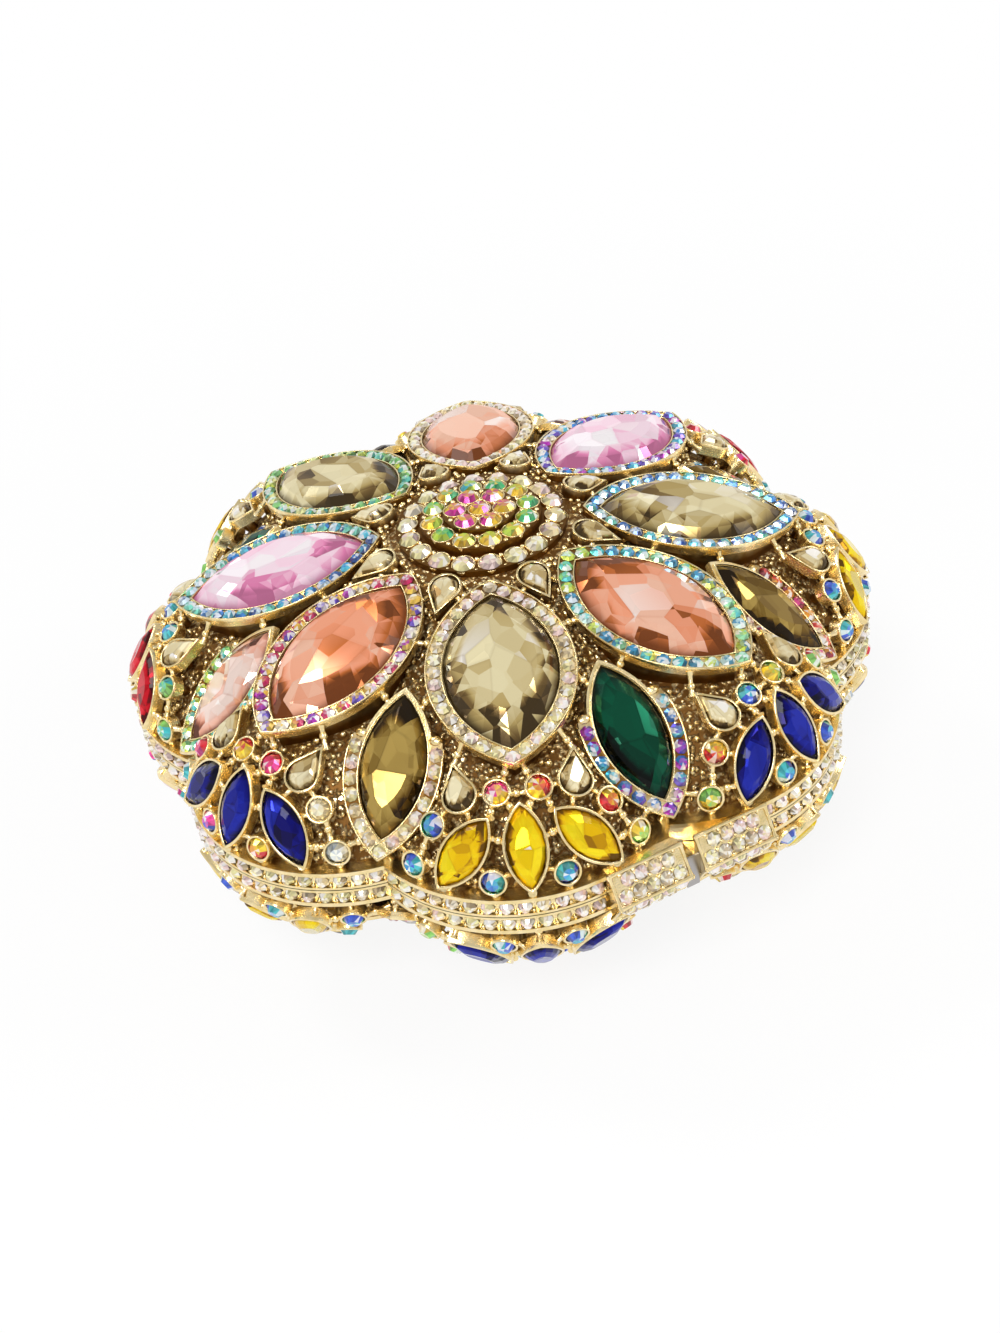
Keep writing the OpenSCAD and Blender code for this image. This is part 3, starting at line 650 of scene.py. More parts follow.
def mark_copy(data, seed):
    """Gives one copy its own seed, and each of its facets a random share."""
    chance = random.Random(seed)
    faces = len(data.polygons)
    seeds = data.attributes.new("seed", "FLOAT", "FACE")
    seeds.data.foreach_set("value", [float(seed % 97)] * faces)
    facet = data.attributes.new("facet", "FLOAT", "FACE")
    facet.data.foreach_set("value", [chance.random() for _ in range(faces)])


def brilliant(r, girdle, crown, table=0.56, sides=10):
    """A small round stone: girdle, triangular crown facets and a table of facets."""
    start()
    bpy.ops.mesh.primitive_cylinder_add(vertices=sides, radius=r * MM, depth=girdle * MM)
    edit()
    select_all()
    slide(z=girdle / 2)
    pick(lambda at, normal: normal.z > 0.9)
    rise(crown, table)
    bpy.ops.mesh.poke(offset=0.0)
    pick(lambda at, normal: 0.05 < normal.z < 0.95)
    bpy.ops.mesh.quads_convert_to_tris(quad_method="FIXED")
    return done()


def wire_ring(outline, width, height, drop=0.25):
    """A thin rounded wire along an outline. outline leaves one face in edit mode."""
    outline()
    slide(z=-drop)
    bpy.ops.mesh.inset(thickness=width * MM, use_even_offset=True)
    bpy.ops.mesh.delete(type="FACE")
    select_all()
    extrude(z=height + drop)
    pick(lambda at, edge: at.z > (height - 0.01) * MM and not edge.is_boundary
         and abs(edge.link_faces[0].normal.dot(edge.link_faces[1].normal)) < 0.7, "edges")
    bpy.ops.mesh.bevel(offset=width * 0.3 * MM, segments=2, profile=0.5, affect="EDGES")
    return done(smooth=50)


def grain(r):
    """A small ball with its middle at the origin."""
    start()
    bpy.ops.mesh.primitive_uv_sphere_add(segments=8, ring_count=6, radius=r * MM)
    edit()
    return done(smooth=80)


def strut(r):
    """A bar one millimetre long along X with flared ends, to be stretched between two settings."""
    start()
    bpy.ops.mesh.primitive_cylinder_add(
        vertices=8, radius=r * MM, depth=0.3 * MM, rotation=(0, math.pi / 2, 0)
    )
    bpy.ops.object.transform_apply(location=True, rotation=True, scale=True)
    edit()
    for side in (-1, 1):
        pick(lambda at, normal, side=side: normal.x * side > 0.9)
        for step, flare in ((0.17, 1.15), (0.18, 1.5)):
            extrude(x=side * step)
            bpy.ops.transform.resize(value=(1, flare, flare))
    return done(smooth=50)


def along(a, b, longer):
    """Turns and stretches a piece that is one millimetre long along X, from a to b."""
    reach = b - a
    turned = reach.to_track_quat("X", "Z").to_matrix().to_4x4()
    stretched = Matrix.Diagonal((reach.length + longer, 1, 1, 1))
    return Matrix.Translation((a + b) / 2 * MM) @ turned @ stretched


def oval_points(size, grow, pitch, from_x=-math.inf):
    """Points along a pointed oval, evenly spaced, beyond from_x."""
    long, wide = size
    bow = arc_radius(long / 2, wide / 2)
    r = bow + grow
    half = math.acos((bow - wide / 2) / r)
    count = round(2 * half * r / pitch)
    points = []
    for side in (1, -1):
        for i in range(count):
            t = half - i * 2 * half / count
            x, y = side * r * math.sin(t), side * (r * math.cos(t) - (bow - wide / 2))
            if x > from_x:
                points.append((x, y))
    return points


def lay(template, name, spots, paint=None):
    """Copies a modelled piece to its places, each copy with its own mesh, and joins them."""
    made = []
    for number, spot in enumerate(spots):
        copy = template.copy()
        copy.data = template.data.copy()
        if paint:
            paint(copy.data, number)
        copy.data.transform(spot)
        bpy.context.scene.collection.objects.link(copy)
        made.append(copy)
    start()
    for copy in made:
        copy.select_set(True)
    bpy.context.view_layer.objects.active = made[0]
    bpy.ops.object.join()
    obj = bpy.context.object
    obj.name = name
    obj.data.name = name
    return obj


def add_piece(template, body, name, spots, material, paint=None, nodes=()):
    """Lays a piece on one half, whose body it rides. nodes are the plain solids that it stands for."""
    obj = lay(template, f"{body}_{name}", spots, paint)
    obj.data.materials.clear()
    obj.data.materials.append(material)
    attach(obj, body)
    if nodes:
        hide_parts(*nodes)


def away(*objects):
    for obj in objects:
        bpy.data.objects.remove(obj)


# Colours of the small coated stones

CLEAR = (
    (0.92, 0.82, 0.64), (0.85, 0.77, 0.38), (0.87, 0.64, 0.61), (0.87, 0.69, 0.38), (0.51, 0.39, 0.23),
)
AQUA = (
    (0.10, 0.60, 0.60), (0.05, 0.33, 0.60), (0.28, 0.68, 0.36), (0.62, 0.85, 0.80), (0.03, 0.20, 0.32),
)
LIME = (
    (0.62, 0.74, 0.08), (0.22, 0.58, 0.18), (0.12, 0.55, 0.45), (0.82, 0.82, 0.35), (0.12, 0.28, 0.08),
)
AZURE = (
    (0.03, 0.22, 0.62), (0.08, 0.52, 0.70), (0.18, 0.62, 0.48), (0.62, 0.76, 0.86), (0.02, 0.07, 0.28),
)
VIOLET = (
    (0.42, 0.02, 0.42), (0.14, 0.07, 0.50), (0.58, 0.02, 0.12), (0.80, 0.70, 0.78), (0.85, 0.55, 0.08),
)
FIRE = (
    (0.72, 0.03, 0.02), (0.80, 0.30, 0.02), (0.62, 0.04, 0.22), (0.85, 0.65, 0.42), (0.25, 0.01, 0.03),
)

# Halo palettes, one for each lobe and one for each notch
LARGE_HALOS = (
    AQUA + LIME[:2], AZURE, VIOLET[:2] + AZURE[:2] + CLEAR[:1], CLEAR,
    LIME, AZURE, VIOLET + CLEAR[:1], CLEAR,
)
MEDIUM_HALOS = (
    AZURE[:2] + VIOLET[:2] + CLEAR[:1], FIRE, AQUA, CLEAR,
    LIME, AZURE, AQUA[:1] + LIME[:3], CLEAR,
)

# The pairs of a lobe's round stones by letter, in the order of ROUND_PLACES
SHADES = {
    "R": (0.75, 0.01, 0.03), "G": (0.90, 0.62, 0.03), "P": (0.80, 0.03, 0.30),
    "B": (0.03, 0.10, 0.65), "T": (0.05, 0.50, 0.55), "L": (0.25, 0.62, 0.12),
    "W": (0.90, 0.84, 0.62), "S": (0.50, 0.58, 0.66), "C": (0.92, 0.78, 0.46),
}
ROSE, WARM = "PR RG WC RP SW PT RG BP", "RG PG RG BT LG TB BT BT"
ROUND_PAIRS = (
    "LG BT RL RG LG GL BT TB", "BT BT BT TB TL BT BT TB", ROSE, WARM,
    "BL LG RL RG LG GL BT TB", "BT BT LT RP TL PT RG BP", ROSE, WARM,
)


def paint_two_tone(template, pairs, bright, seed):
    """Paints each copy's facets from two colours that meet across the stone, with a few painted highlights
    and painted shade on the girdle.
    """
    chance = random.Random(seed)
    facets = [(math.atan2(p.center.y, p.center.x), p.normal.z) for p in template.data.polygons]

    def paint(data, number):
        first, second = pairs[number]
        split = chance.uniform(0, math.tau)
        flash = chance.uniform(0, math.tau)
        values = []
        for angle, up in facets:
            base = first if math.cos(angle - split) > chance.uniform(-0.12, 0.12) else second
            # Painted shade: the girdle's facets, which face sideways, are darkened.
            if up < 0.2:
                gain = 0.3
            elif up > 0.97:
                gain, share = chance.uniform(0.8, 1.25), chance.random()
                base = [a * share + b * (1 - share) for a, b in zip(first, second)]
            else:
                gain = chance.uniform(0.42, 1.25)
            shade = [min(1, v * gain) for v in base]
            # Painted highlights: a few facets, and those facing one way, turn near white.
            if up > 0.3 and (chance.random() < bright * 0.5 or math.cos(angle - flash) > 1 - bright):
                shade = [v + (1 - v) * 0.7 for v in shade]
            values += [*shade, 1]
        tint = data.attributes.new("tint", "FLOAT_COLOR", "FACE")
        tint.data.foreach_set("color", values)

    return paint


def palette_pairs(palettes, seed):
    """One pair of colours for each stone, drawn from the palette given for it."""
    chance = random.Random(seed)
    return [tuple(chance.sample(palette, 2)) for palette in palettes]


# Pieces


class PieceOperator:
    bl_options = {"REGISTER", "UNDO"}

    def execute(self, context):
        self.make()
        return {"FINISHED"}


class CLUTCH_OT_stage(PieceOperator, bpy.types.Operator):
    """Floor, lamps, world and the camera at the photograph's angle"""

    bl_idname = "clutch.stage"
    bl_label = "Stage"

    # Name, place and size in metres, and power in watts
    LAMPS = (
        ("key_lamp", (-0.35, -0.45, 0.75), 0.35, 4.6),
        ("fill_lamp", (0.55, -0.30, 0.45), 0.30, 1.4),
        ("back_lamp", (-0.32, 0.50, 0.78), 0.30, 1.9),
    )

    # Azimuth, elevation and roll, the point looked at, the distance to it, and the lens in pixels
    CAMERA_TURNS, CAMERA_TARGET, CAMERA_REACH = (-21.55, 38.11, -8.9), (-1.16, -0.79, 34.24), 371.56
    SENSOR_WIDTH, FOCAL_PIXELS, WIDTH_PIXELS = 36, 1776.98, 1333

    def make(self):
        scene = bpy.context.scene
        scene.view_settings.view_transform = "Standard"
        self.floor()
        self.world(scene)
        self.lamps()
        self.camera(scene)

    def floor(self):
        start()
        bpy.ops.mesh.primitive_circle_add(
            vertices=96, radius=4.0, fill_type="NGON", location=(0, 0, -0.0001)
        )
        floor = bpy.context.object
        floor.name = "floor"
        f = Finish("floor_paper", roughness=0.9, specular_ior_level=0.0)
        f.set(base_color=f.mix(f.noise(0.05, 2), (0.90, 0.90, 0.90), (0.93, 0.93, 0.93)))
        x, y, _ = f.parts(f.place())
        out_of_shadow = f.smooth((x * x + y * y).math("SQRT"), 110, 330)
        blend = f.node("MixShader", sockets={
            0: hit_directly(f.tree) * (0.88 + out_of_shadow * 0.12),
            1: Wire(f.tree, f.shader.outputs[0]),
            2: f.node("Emission", sockets={0: (1, 1, 1)}),
        })
        plug(f.tree, f.out.inputs["Surface"], blend)
        floor.data.materials.append(f.material)

    def world(self, scene):
        world = bpy.data.worlds.new("studio")
        scene.world = world
        world.use_nodes = True
        tree = world.node_tree
        tree.nodes.clear()
        at, split, back, out = (
            tree.nodes.new(f"ShaderNode{kind}")
            for kind in ("TexCoord", "SeparateXYZ", "Background", "OutputWorld")
        )
        tree.links.new(at.outputs["Generated"], split.inputs[0])
        overhead = ((Wire(tree, split.outputs[2]) - 0.10) * 2.6).clamp()
        level = hit_directly(tree) * (0.5 - overhead * 0.32) + 0.5 - overhead * 0.1
        plug(tree, back.inputs[0], (1, 1, 1))
        plug(tree, back.inputs[1], level)
        tree.links.new(back.outputs[0], out.inputs[0])

    def lamps(self):
        for name, at, size, power in self.LAMPS:
            lamp = bpy.data.lights.new(name, "AREA")
            lamp.shape, lamp.size, lamp.energy = "DISK", size, power
            obj = bpy.data.objects.new(name, lamp)
            bpy.context.scene.collection.objects.link(obj)
            obj.location = at
            obj.rotation_euler = (Vector((0, 0, 0.04)) - Vector(at)).to_track_quat("-Z", "Y").to_euler()

    def camera(self, scene):
        azimuth, elevation, roll = (math.radians(v) for v in self.CAMERA_TURNS)
        target = Vector(self.CAMERA_TARGET) * MM
        back = Vector((
            math.sin(azimuth) * math.cos(elevation), -math.cos(azimuth) * math.cos(elevation),
            math.sin(elevation),
        ))
        right = Vector((math.cos(azimuth), math.sin(azimuth), 0))
        up = back.cross(right)
        across = math.cos(roll) * right + math.sin(roll) * up
        upward = -math.sin(roll) * right + math.cos(roll) * up
        camera = bpy.data.objects.new("camera", bpy.data.cameras.new("camera"))
        scene.collection.objects.link(camera)
        camera.data.lens = self.SENSOR_WIDTH * self.FOCAL_PIXELS / self.WIDTH_PIXELS
        camera.data.clip_start, camera.data.clip_end = 0.01, 20
        turned = Matrix((across, upward, back)).transposed().to_4x4()
        camera.matrix_world = Matrix.Translation(target + back * self.CAMERA_REACH * MM) @ turned
        scene.camera = camera


class CLUTCH_OT_metal(PieceOperator, bpy.types.Operator):
    """Finishes on the parts of the frame that stay: bands, shells, settings, hinge and clasp"""

    bl_idname = "clutch.metal"
    bl_label = "Metal and lining"

    def make(self):
        plain = gold_finish("bright_gold")
        for half in HALVES:
            for material, parts in (
                (gold_finish(f"{half}_high_gold", half, (1.0, 4.6)), ("large_bezels", "medium_bezels")),
                (gold_finish(f"{half}_low_gold", half, (0.7, 3.2)),
                 ("fan_bezels", "pear_bezels", "round_cups")),
                (gold_finish(f"{half}_boss_gold", half, (2.0, 8.5)), ("rosette",)),
                (self.shell(half), ("shell",)),
                (self.lining(half), ("lining",)),
                (plain, ("rim_band", "hinge_leaf", "clasp_block")),
            ):
                for part in parts:
                    self.dress(f"{half}_{part}", material)
        self.dress("chain_lugs", plain)
        self.dress("hinge_pin", self.steel("pin_steel", (0.62, 0.60, 0.57)))
        self.dress("catch_leaf", self.steel("spring_steel", (0.50, 0.48, 0.47)))

    def dress(self, node, material):
        obj = NODES[node]
        if not obj.material_slots:
            obj.data.materials.append(material)
        for slot in obj.material_slots:
            slot.material = material

    def shell(self, half):
        """Cast metal between the settings: soft grains of gold over hollows painted brown, as painted shade.
        """
        f = Finish(f"{half}_openwork_gold")
        c = colours()
        wander = f.noise(0.35, 4)
        ball = (1 - f.smooth(f.cells(f.place(), 0.85), 0.20, 0.54)) * f.smooth(wander, 0.32, 0.48)
        crust = f.smooth(f.noise(0.8, 4, roughness=0.55), 0.52, 0.66) * 0.75
        raised = (ball + crust).clamp()
        gold = f.mix(f.smooth(wander, 0.3, 0.6), (0.74, 0.47, 0.14), tuple(c.gold))
        # Painted shade: where the grains and crust are low, the hollows take the dark recess colour.
        f.set(base_color=f.mix(raised, tuple(c.recess_shade), gold), roughness=0.5 - raised * 0.26,
              metallic=0.75 + raised * 0.25, normal=f.bump(raised + wander * 0.3, 0.6, 0.0007))
        return f.material

    def lining(self, half):
        f = Finish(f"{half}_leatherette", metallic=0.35)
        base = tuple(colours().lining)
        pores = f.cells(f.place(), 1.6)
        pale = tuple(min(1, v * 1.16 + 0.02) for v in base)
        tone = f.mix(f.smooth(f.noise(0.08, 4), 0.35, 0.65), base, pale)
        tone = f.mix(f.smooth(pores, 0.1, 0.6) * 0.35, tone, scaled(base, 0.6))
        f.set(base_color=tone, roughness=0.38 + pores * 0.2, normal=f.bump(1 - pores, 0.5, 0.0003))
        return f.material

    def steel(self, name, shade):
        """Metal brushed along X."""
        f = Finish(name, metallic=1.0)
        brushed = f.noise(2.0, 4, f.vector("MULTIPLY", f.place(), (0.2, 3.0, 3.0)))
        f.set(base_color=f.mix(brushed, scaled(shade, 0.75), shade),
              roughness=0.25 + brushed * 0.2, normal=f.bump(brushed, 0.15, 0.0001))
        return f.material


class PointedStones(PieceOperator):
    """Pointed stones of one size. A subclass gives their size, their cut, their settings and a row
    for each kind: name, lobes, slot, brightest and darkest painted patch, patch size, flash threshold
    of the painted highlights and depth of the painted edge shade."""

    def make(self):
        lens(self.SIZE, -STONE_GAP, self.STEPS)
        stone = mark_cut(cut_gem(*self.CUT), self.SIZE)
        for kind, lobes, slot, glow, shade, cell, flash, depth in self.KINDS:
            tint = getattr(colours(), kind)
            finish = gem_finish(f"cut_{kind}", tint, glow, shade, cell, self.SIZE[0], flash, depth)
            seeds = self.seeds(lobes)
            for half, into in HALVES.items():
                add_piece(
                    stone, half, f"{kind}_gems", [into @ p for p in places(self.SETTING, lobes)],
                    finish, lambda data, i: mark_copy(data, seeds[i]),
                    [f"{half}_{kind}_{self.NODE}"],
                )
        away(stone)


class CLUTCH_OT_large_gems(PointedStones, bpy.types.Operator):
    """Large pointed stones, one on each lobe"""

    bl_idname = "clutch.large_gems"
    bl_label = "Large stones"

    SIZE, STEPS, CUT, SETTING, NODE = LARGE, 11, (1.2, 3.0, 0.64), "large", "stones"
    KINDS = (
        ("coral", CORAL_LOBES, "coral_glass", (0.96, 0.56, 0.40), (0.52, 0.14, 0.032), 7.6, 0.74, 0.34),
        ("tan", TAN_LOBES, "smoky_glass", (0.88, 0.78, 0.48), (0.18, 0.11, 0.036), 6.6, 0.74, 0.28),
        ("pink", PINK_LOBES, "pink_glass", (0.99, 0.90, 0.95), (0.80, 0.24, 0.46), 6.8, 0.70, 0.6),
    )
    SEEDS = (11, 18, 25, 32, 44, 46, 53, 60)

    def seeds(self, lobes):
        return [self.SEEDS[k] for k in lobes]


class CLUTCH_OT_medium_gems(PointedStones, bpy.types.Operator):
    """Pointed stones between the lobes"""

    bl_idname = "clutch.medium_gems"
    bl_label = "Medium stones"

    SIZE, STEPS, CUT, SETTING, NODE = MEDIUM, 9, (0.99, 2.2, 0.58), "medium", "stones"
    KINDS = (
        ("green", GREEN_NOTCHES, "green_glass", (0.0, 0.080, 0.038), (0.001, 0.005, 0.003), 6.5, 0.97, 0.28),
        ("olive", OLIVE_NOTCHES, "olive_glass", (0.48, 0.33, 0.085), (0.055, 0.028, 0.005), 5.6, 0.88, 0.28),
        ("peach", PEACH_NOTCHES, "peach_glass", (0.96, 0.76, 0.68), (0.45, 0.16, 0.10), 4.8, 0.76, 0.28),
    )

    def seeds(self, notches):
        return [5 + 9 * k for k in notches]


class CLUTCH_OT_fan_gems(PointedStones, bpy.types.Operator):
    """Narrow pointed stones in threes at the foot of each lobe"""

    bl_idname = "clutch.fan_gems"
    bl_label = "Fan stones"

    SIZE, STEPS, CUT, SETTING, NODE = FAN, 7, (1.0, 1.5, 0.52), "fan", "fan"
    KINDS = (
        ("blue", CORAL_LOBES, "blue_glass", (0.012, 0.022, 0.36), (0.003, 0.001, 0.045), 4.4, 0.97, 0.28),
        ("yellow", TAN_LOBES, "yellow_glass", (0.92, 0.72, 0.01), (0.42, 0.19, 0.0), 3.8, 0.93, 0.28),
        ("red", PINK_LOBES, "red_glass", (0.78, 0.03, 0.05), (0.20, 0.002, 0.006), 3.8, 0.95, 0.28),
    )

    def seeds(self, lobes):
        return [3 + 5 * i for i in range(len(lobes) * len(FAN_PLACES))]


class CLUTCH_OT_pear_gems(PieceOperator, bpy.types.Operator):
    """Small smoky pears"""

    bl_idname = "clutch.pear_gems"
    bl_label = "Pear stones"

    def make(self):
        long, wide = PEAR
        pear_outline(-STONE_GAP)
        stone = mark_cut(cut_gem(1.0, 1.5, 0.56), (long * 1.1, wide * 1.1))
        finish = gem_finish("cut_pear", colours().pear, (0.92, 0.82, 0.54), (0.20, 0.12, 0.038),
                            2.4, long * 1.4, 0.72, edge=0.22, lines=0.4)
        for half, into in HALVES.items():
            spots = [into @ p for p in places("pear") + places("inner_pear")]
            add_piece(stone, half, "pear_gems", spots, finish,
                      lambda data, i: mark_copy(data, 2 + 3 * i), [f"{half}_pear_stones"])
        away(stone)


class CLUTCH_OT_round_gems(PieceOperator, bpy.types.Operator):
    """Round stones with a rainbow coating, beside the fans"""

    bl_idname = "clutch.round_gems"
    bl_label = "Round stones"

    def make(self):
        stone = brilliant(ROUND_R - STONE_GAP, 1.0, 1.3)
        finish = rainbow_finish("coated_round", 0.4)
        pairs = [(SHADES[one], SHADES[other]) for row in ROUND_PAIRS for one, other in row.split()]
        for half, into in HALVES.items():
            spots = [into @ p @ shift(0, 0, -1.0) for p in places("round")]
            add_piece(stone, half, "round_gems", spots, finish,
                      paint_two_tone(stone, pairs, 0.09, 4), [f"{half}_round_stones"])
        away(stone)


class CLUTCH_OT_rosette_gems(PieceOperator, bpy.types.Operator):
    """Round stones of the rosette, in rings"""

    bl_idname = "clutch.rosette_gems"
    bl_label = "Rosette stones"

    MAGENTA, GOLD = (0.62, 0.01, 0.28), (0.85, 0.52, 0.02)
    GREEN, LIGHT_GREEN, TEAL = (0.06, 0.50, 0.18), (0.48, 0.66, 0.05), (0.04, 0.42, 0.50)

    def make(self):
        stone = brilliant(ROSETTE_R + 0.04, 0.735, 0.945, 0.58)
        finish = rainbow_finish("coated_rosette", 0.4)
        inner, middle, outer = RING_COUNTS[0] + RING_COUNTS[1], RING_COUNTS[2], RING_COUNTS[3]
        greens = (self.GREEN, self.LIGHT_GREEN, self.TEAL, self.GOLD)
        pairs = [(self.MAGENTA, self.GOLD)] * inner
        pairs += palette_pairs([greens] * middle + [CLEAR[:4]] * outer, 8)
        for half, into in HALVES.items():
            add_piece(stone, half, "rosette_gems", [into @ p for p in ROSETTE], finish,
                      paint_two_tone(stone, pairs, 0.05, 9), [f"{half}_rosette_stones"])
        away(stone)


class CLUTCH_OT_rosette_cups(PieceOperator, bpy.types.Operator):
    """A gold cup round each stone of the rosette"""

    bl_idname = "clutch.rosette_cups"
    bl_label = "Rosette cups"

    CUP_GAP, CUP_W, CUP_H, CUP_DEPTH, CUP_LIFT = 0.28, 0.26, 0.62, 0.35, 0.2
    PRONG_R, PRONG_ASIDE, PRONG_LIFT = 0.55, 1.5, 0.45

    def make(self):
        cup = wire_ring(lambda: disc(ROSETTE_R + self.CUP_GAP, 20), self.CUP_W, self.CUP_H, self.CUP_DEPTH)
        prong = grain(self.PRONG_R)
        for half, into in HALVES.items():
            finish = gold_finish(f"{half}_cup_gold")
            cups = [into @ p @ shift(0, 0, self.CUP_LIFT) for p in ROSETTE]
            add_piece(cup, half, "rosette_cups", cups, finish)
            add_piece(prong, half, "rosette_prongs", [into @ p for p in self.prongs()], finish)
        away(cup, prong)

    def prongs(self):
        """Grains between neighbouring cups, on both sides of each ring."""
        for ring, count in list(enumerate(RING_COUNTS))[1:]:
            for i in range(count):
                between = turn(180 / count, "Z") @ ring_place(ring, i)
                for side in (-1, 1):
                    yield between @ shift(side * self.PRONG_ASIDE, 0, self.PRONG_LIFT)


class CLUTCH_OT_clasp_gems(PieceOperator, bpy.types.Operator):
    """Rows of clear stones on the sloping faces of the clasp blocks"""

    bl_idname = "clutch.clasp_gems"
    bl_label = "Clasp stones"

    # A block's crease, how far its faces slope back and how high, its length and its nearer end
    CREASE_Y, SLANT, SLOPE_H, LENGTH, NEAR = -77.36, 3.4, 5.2, 14.4, 1.6
    PITCH, SINK, EDGE_R, BEAD_R, EDGE_OVERRUN = 2.74, 0.04, 0.34, 0.42, 0.5

    # Share of the slope and count of each row
    ROWS = ((0.27, 5), (0.73, 4))
    BEADS = ((0.08, 4), (0.42, 4), (0.58, 3), (0.92, 5))

    def make(self):
        stone, edge, bead = brilliant(RIM_STONE_R, 0.3, 0.62), strut(self.EDGE_R), grain(self.BEAD_R)
        gold, finish = gold_finish("clasp_edge_gold"), rainbow_finish("coated_clasp")
        for half, side in (("lid", -1), ("base", 1)):
            spots = [at @ shift(0, 0, -self.SINK) for at in self.in_rows(side, self.ROWS)]
            pairs = palette_pairs([CLEAR] * len(spots), 15)
            add_piece(stone, half, "clasp_gems", spots, finish,
                      paint_two_tone(stone, pairs, 0.26, 16))
            edges = [along(*ends, self.EDGE_OVERRUN) for ends in self.edges(side)]
            add_piece(edge, half, "clasp_edges", edges, gold)
            add_piece(bead, half, "clasp_beads", self.in_rows(side, self.BEADS), gold)
        away(stone, edge, bead)

    def in_rows(self, side, rows):
        """Places on both sloping faces of a block."""
        return [
            self.on_face(side, way, share, i - (count - 1) / 2)
            for way in (1, -1) for share, count in rows for i in range(count)
        ]

    def on_face(self, side, way, share, pitches):
        """A place on a sloping face: its share of the slope, and its pitches from the middle."""
        lean = math.degrees(math.atan2(self.SLOPE_H, self.SLANT))
        x = side * (self.NEAR + self.LENGTH / 2 + pitches * self.PITCH)
        at = shift(x, self.CREASE_Y + self.SLANT * share, HALF_H + way * self.SLOPE_H * share)
        return at @ turn(lean if way > 0 else 180 - lean, "X")

    def edges(self, side):
        """The two ends of each edge of a block's sloping faces."""
        near, far = side * self.NEAR, side * (self.NEAR + self.LENGTH)
        rows = [
            (self.CREASE_Y + self.SLANT * abs(way), HALF_H + self.SLOPE_H * way) for way in (-1, 0, 1)
        ]
        ends = [(Vector((near, *row)), Vector((far, *row))) for row in rows]
        for low, high in zip(rows, rows[1:]):
            ends += [(Vector((x, *low)), Vector((x, *high))) for x in (near, far)]
        return ends


class CLUTCH_OT_rim_gems(PieceOperator, bpy.types.Operator):
    """The row of clear stones in each rim band"""

    bl_idname = "clutch.rim_gems"
    bl_label = "Rim stones"

    PRONG_R, PRONG_PLACES = 0.42, ((-1.05, 1.45, 0.1), (1.05, 1.45, 0.1))

    def make(self):
        stone, prong = brilliant(RIM_STONE_R - STONE_GAP, 0.35, 0.84, 0.55), grain(self.PRONG_R)
        gold, finish = gold_finish("prong_gold"), rainbow_finish("coated_rim")
        row = rim_places()
        pairs = palette_pairs([CLEAR] * len(row), 5)
        for half, into in HALVES.items():
            add_piece(stone, half, "rim_gems", [into @ p for p in row], finish,
                      paint_two_tone(stone, pairs, 0.24, 6), [f"{half}_rim_stones"])
            prongs = [into @ p @ shift(*at) for p in row for at in self.PRONG_PLACES]
            add_piece(prong, half, "rim_prongs", prongs, gold)
        away(stone, prong)


class CLUTCH_OT_halos(PieceOperator, bpy.types.Operator):
    """Small stones on the flanges round the large and medium stones"""

    bl_idname = "clutch.halos"
    bl_label = "Halo stones"

    # How far the row stands out, where the medium one stops, the gap and how deep the stones sit
    LARGE_OUT, MEDIUM_OUT, MEDIUM_STOP_SHARE, GAP, SINK = 1.68, 1.64, -0.2, 0.06, 0.1

    def make(self):
        r, h = sizes().halo_stone_r / MM, sizes().halo_h / MM
        stone = brilliant(r, h * 0.35, h * 0.65, sides=8)
        finish = rainbow_finish("coated_halo", 0.35)
        pitch = 2 * r + self.GAP
        large = oval_points(LARGE, self.LARGE_OUT, pitch)
        medium = oval_points(MEDIUM, self.MEDIUM_OUT, pitch, MEDIUM[0] * self.MEDIUM_STOP_SHARE + r)
        for half, into in HALVES.items():
            for kind, points, palettes in (("large", large, LARGE_HALOS), ("medium", medium, MEDIUM_HALOS)):
                spots = [into @ p @ shift(x, y, -self.SINK) for p in places(kind) for x, y in points]
                pairs = palette_pairs([palette for palette in palettes for _ in points], 12)
                add_piece(stone, half, f"{kind}_halo", spots, finish,
                          paint_two_tone(stone, pairs, 0.14, 13))
        away(stone)


class CLUTCH_OT_wires(PieceOperator, bpy.types.Operator):
    """Thin gold wires round every setting"""

    bl_idname = "clutch.wires"
    bl_label = "Setting wires"

    def make(self):
        w, h = sizes().wire_w / MM, sizes().wire_h / MM
        finish = gold_finish("wire_gold", shine=0.16)
        rings = (
            ("large_outer", ("large",), wire_ring(lambda: lens(LARGE, 3.3, 22), w * 0.6, h)),
            ("large_inner", ("large",), wire_ring(lambda: lens(LARGE, 0.36, 22), w * 0.55, h * 0.7)),
            ("medium_outer", ("medium",), self.open_ring(w, h)),
            ("medium_inner", ("medium",), wire_ring(lambda: lens(MEDIUM, 0.40, 18), w * 0.6, h * 0.8)),
            ("fan", ("fan",), wire_ring(lambda: lens(FAN, 0.55, 14), w, h * 0.9)),
            ("pear", ("pear", "inner_pear"), wire_ring(lambda: pear_outline(0.5, 26), w * 0.9, h * 0.9)),
            ("round", ("round",), wire_ring(lambda: disc(ROUND_R + 0.5, 24), w * 0.9, h * 0.8)),
        )
        for half, into in HALVES.items():
            for name, kinds, ring in rings:
                spots = [into @ p for kind in kinds for p in places(kind)]
                add_piece(ring, half, f"{name}_wire", spots, finish)
        away(*(ring for _, _, ring in rings))

    def open_ring(self, w, h):
        """The wire of a medium flange, which stops where the flange does."""
        edit(wire_ring(lambda: lens(MEDIUM, 3.1, 20), w * 0.8, h))
        select_all()
        bpy.ops.mesh.bisect(
            plane_co=(-MEDIUM[0] * 0.14 * MM, 0, 0), plane_no=(1, 0, 0), clear_inner=True, use_fill=True
        )
        pick(lambda at, normal: normal.x < -0.95)
        slide(x=-0.5, z=-h * 0.9)
        return done(smooth=50)


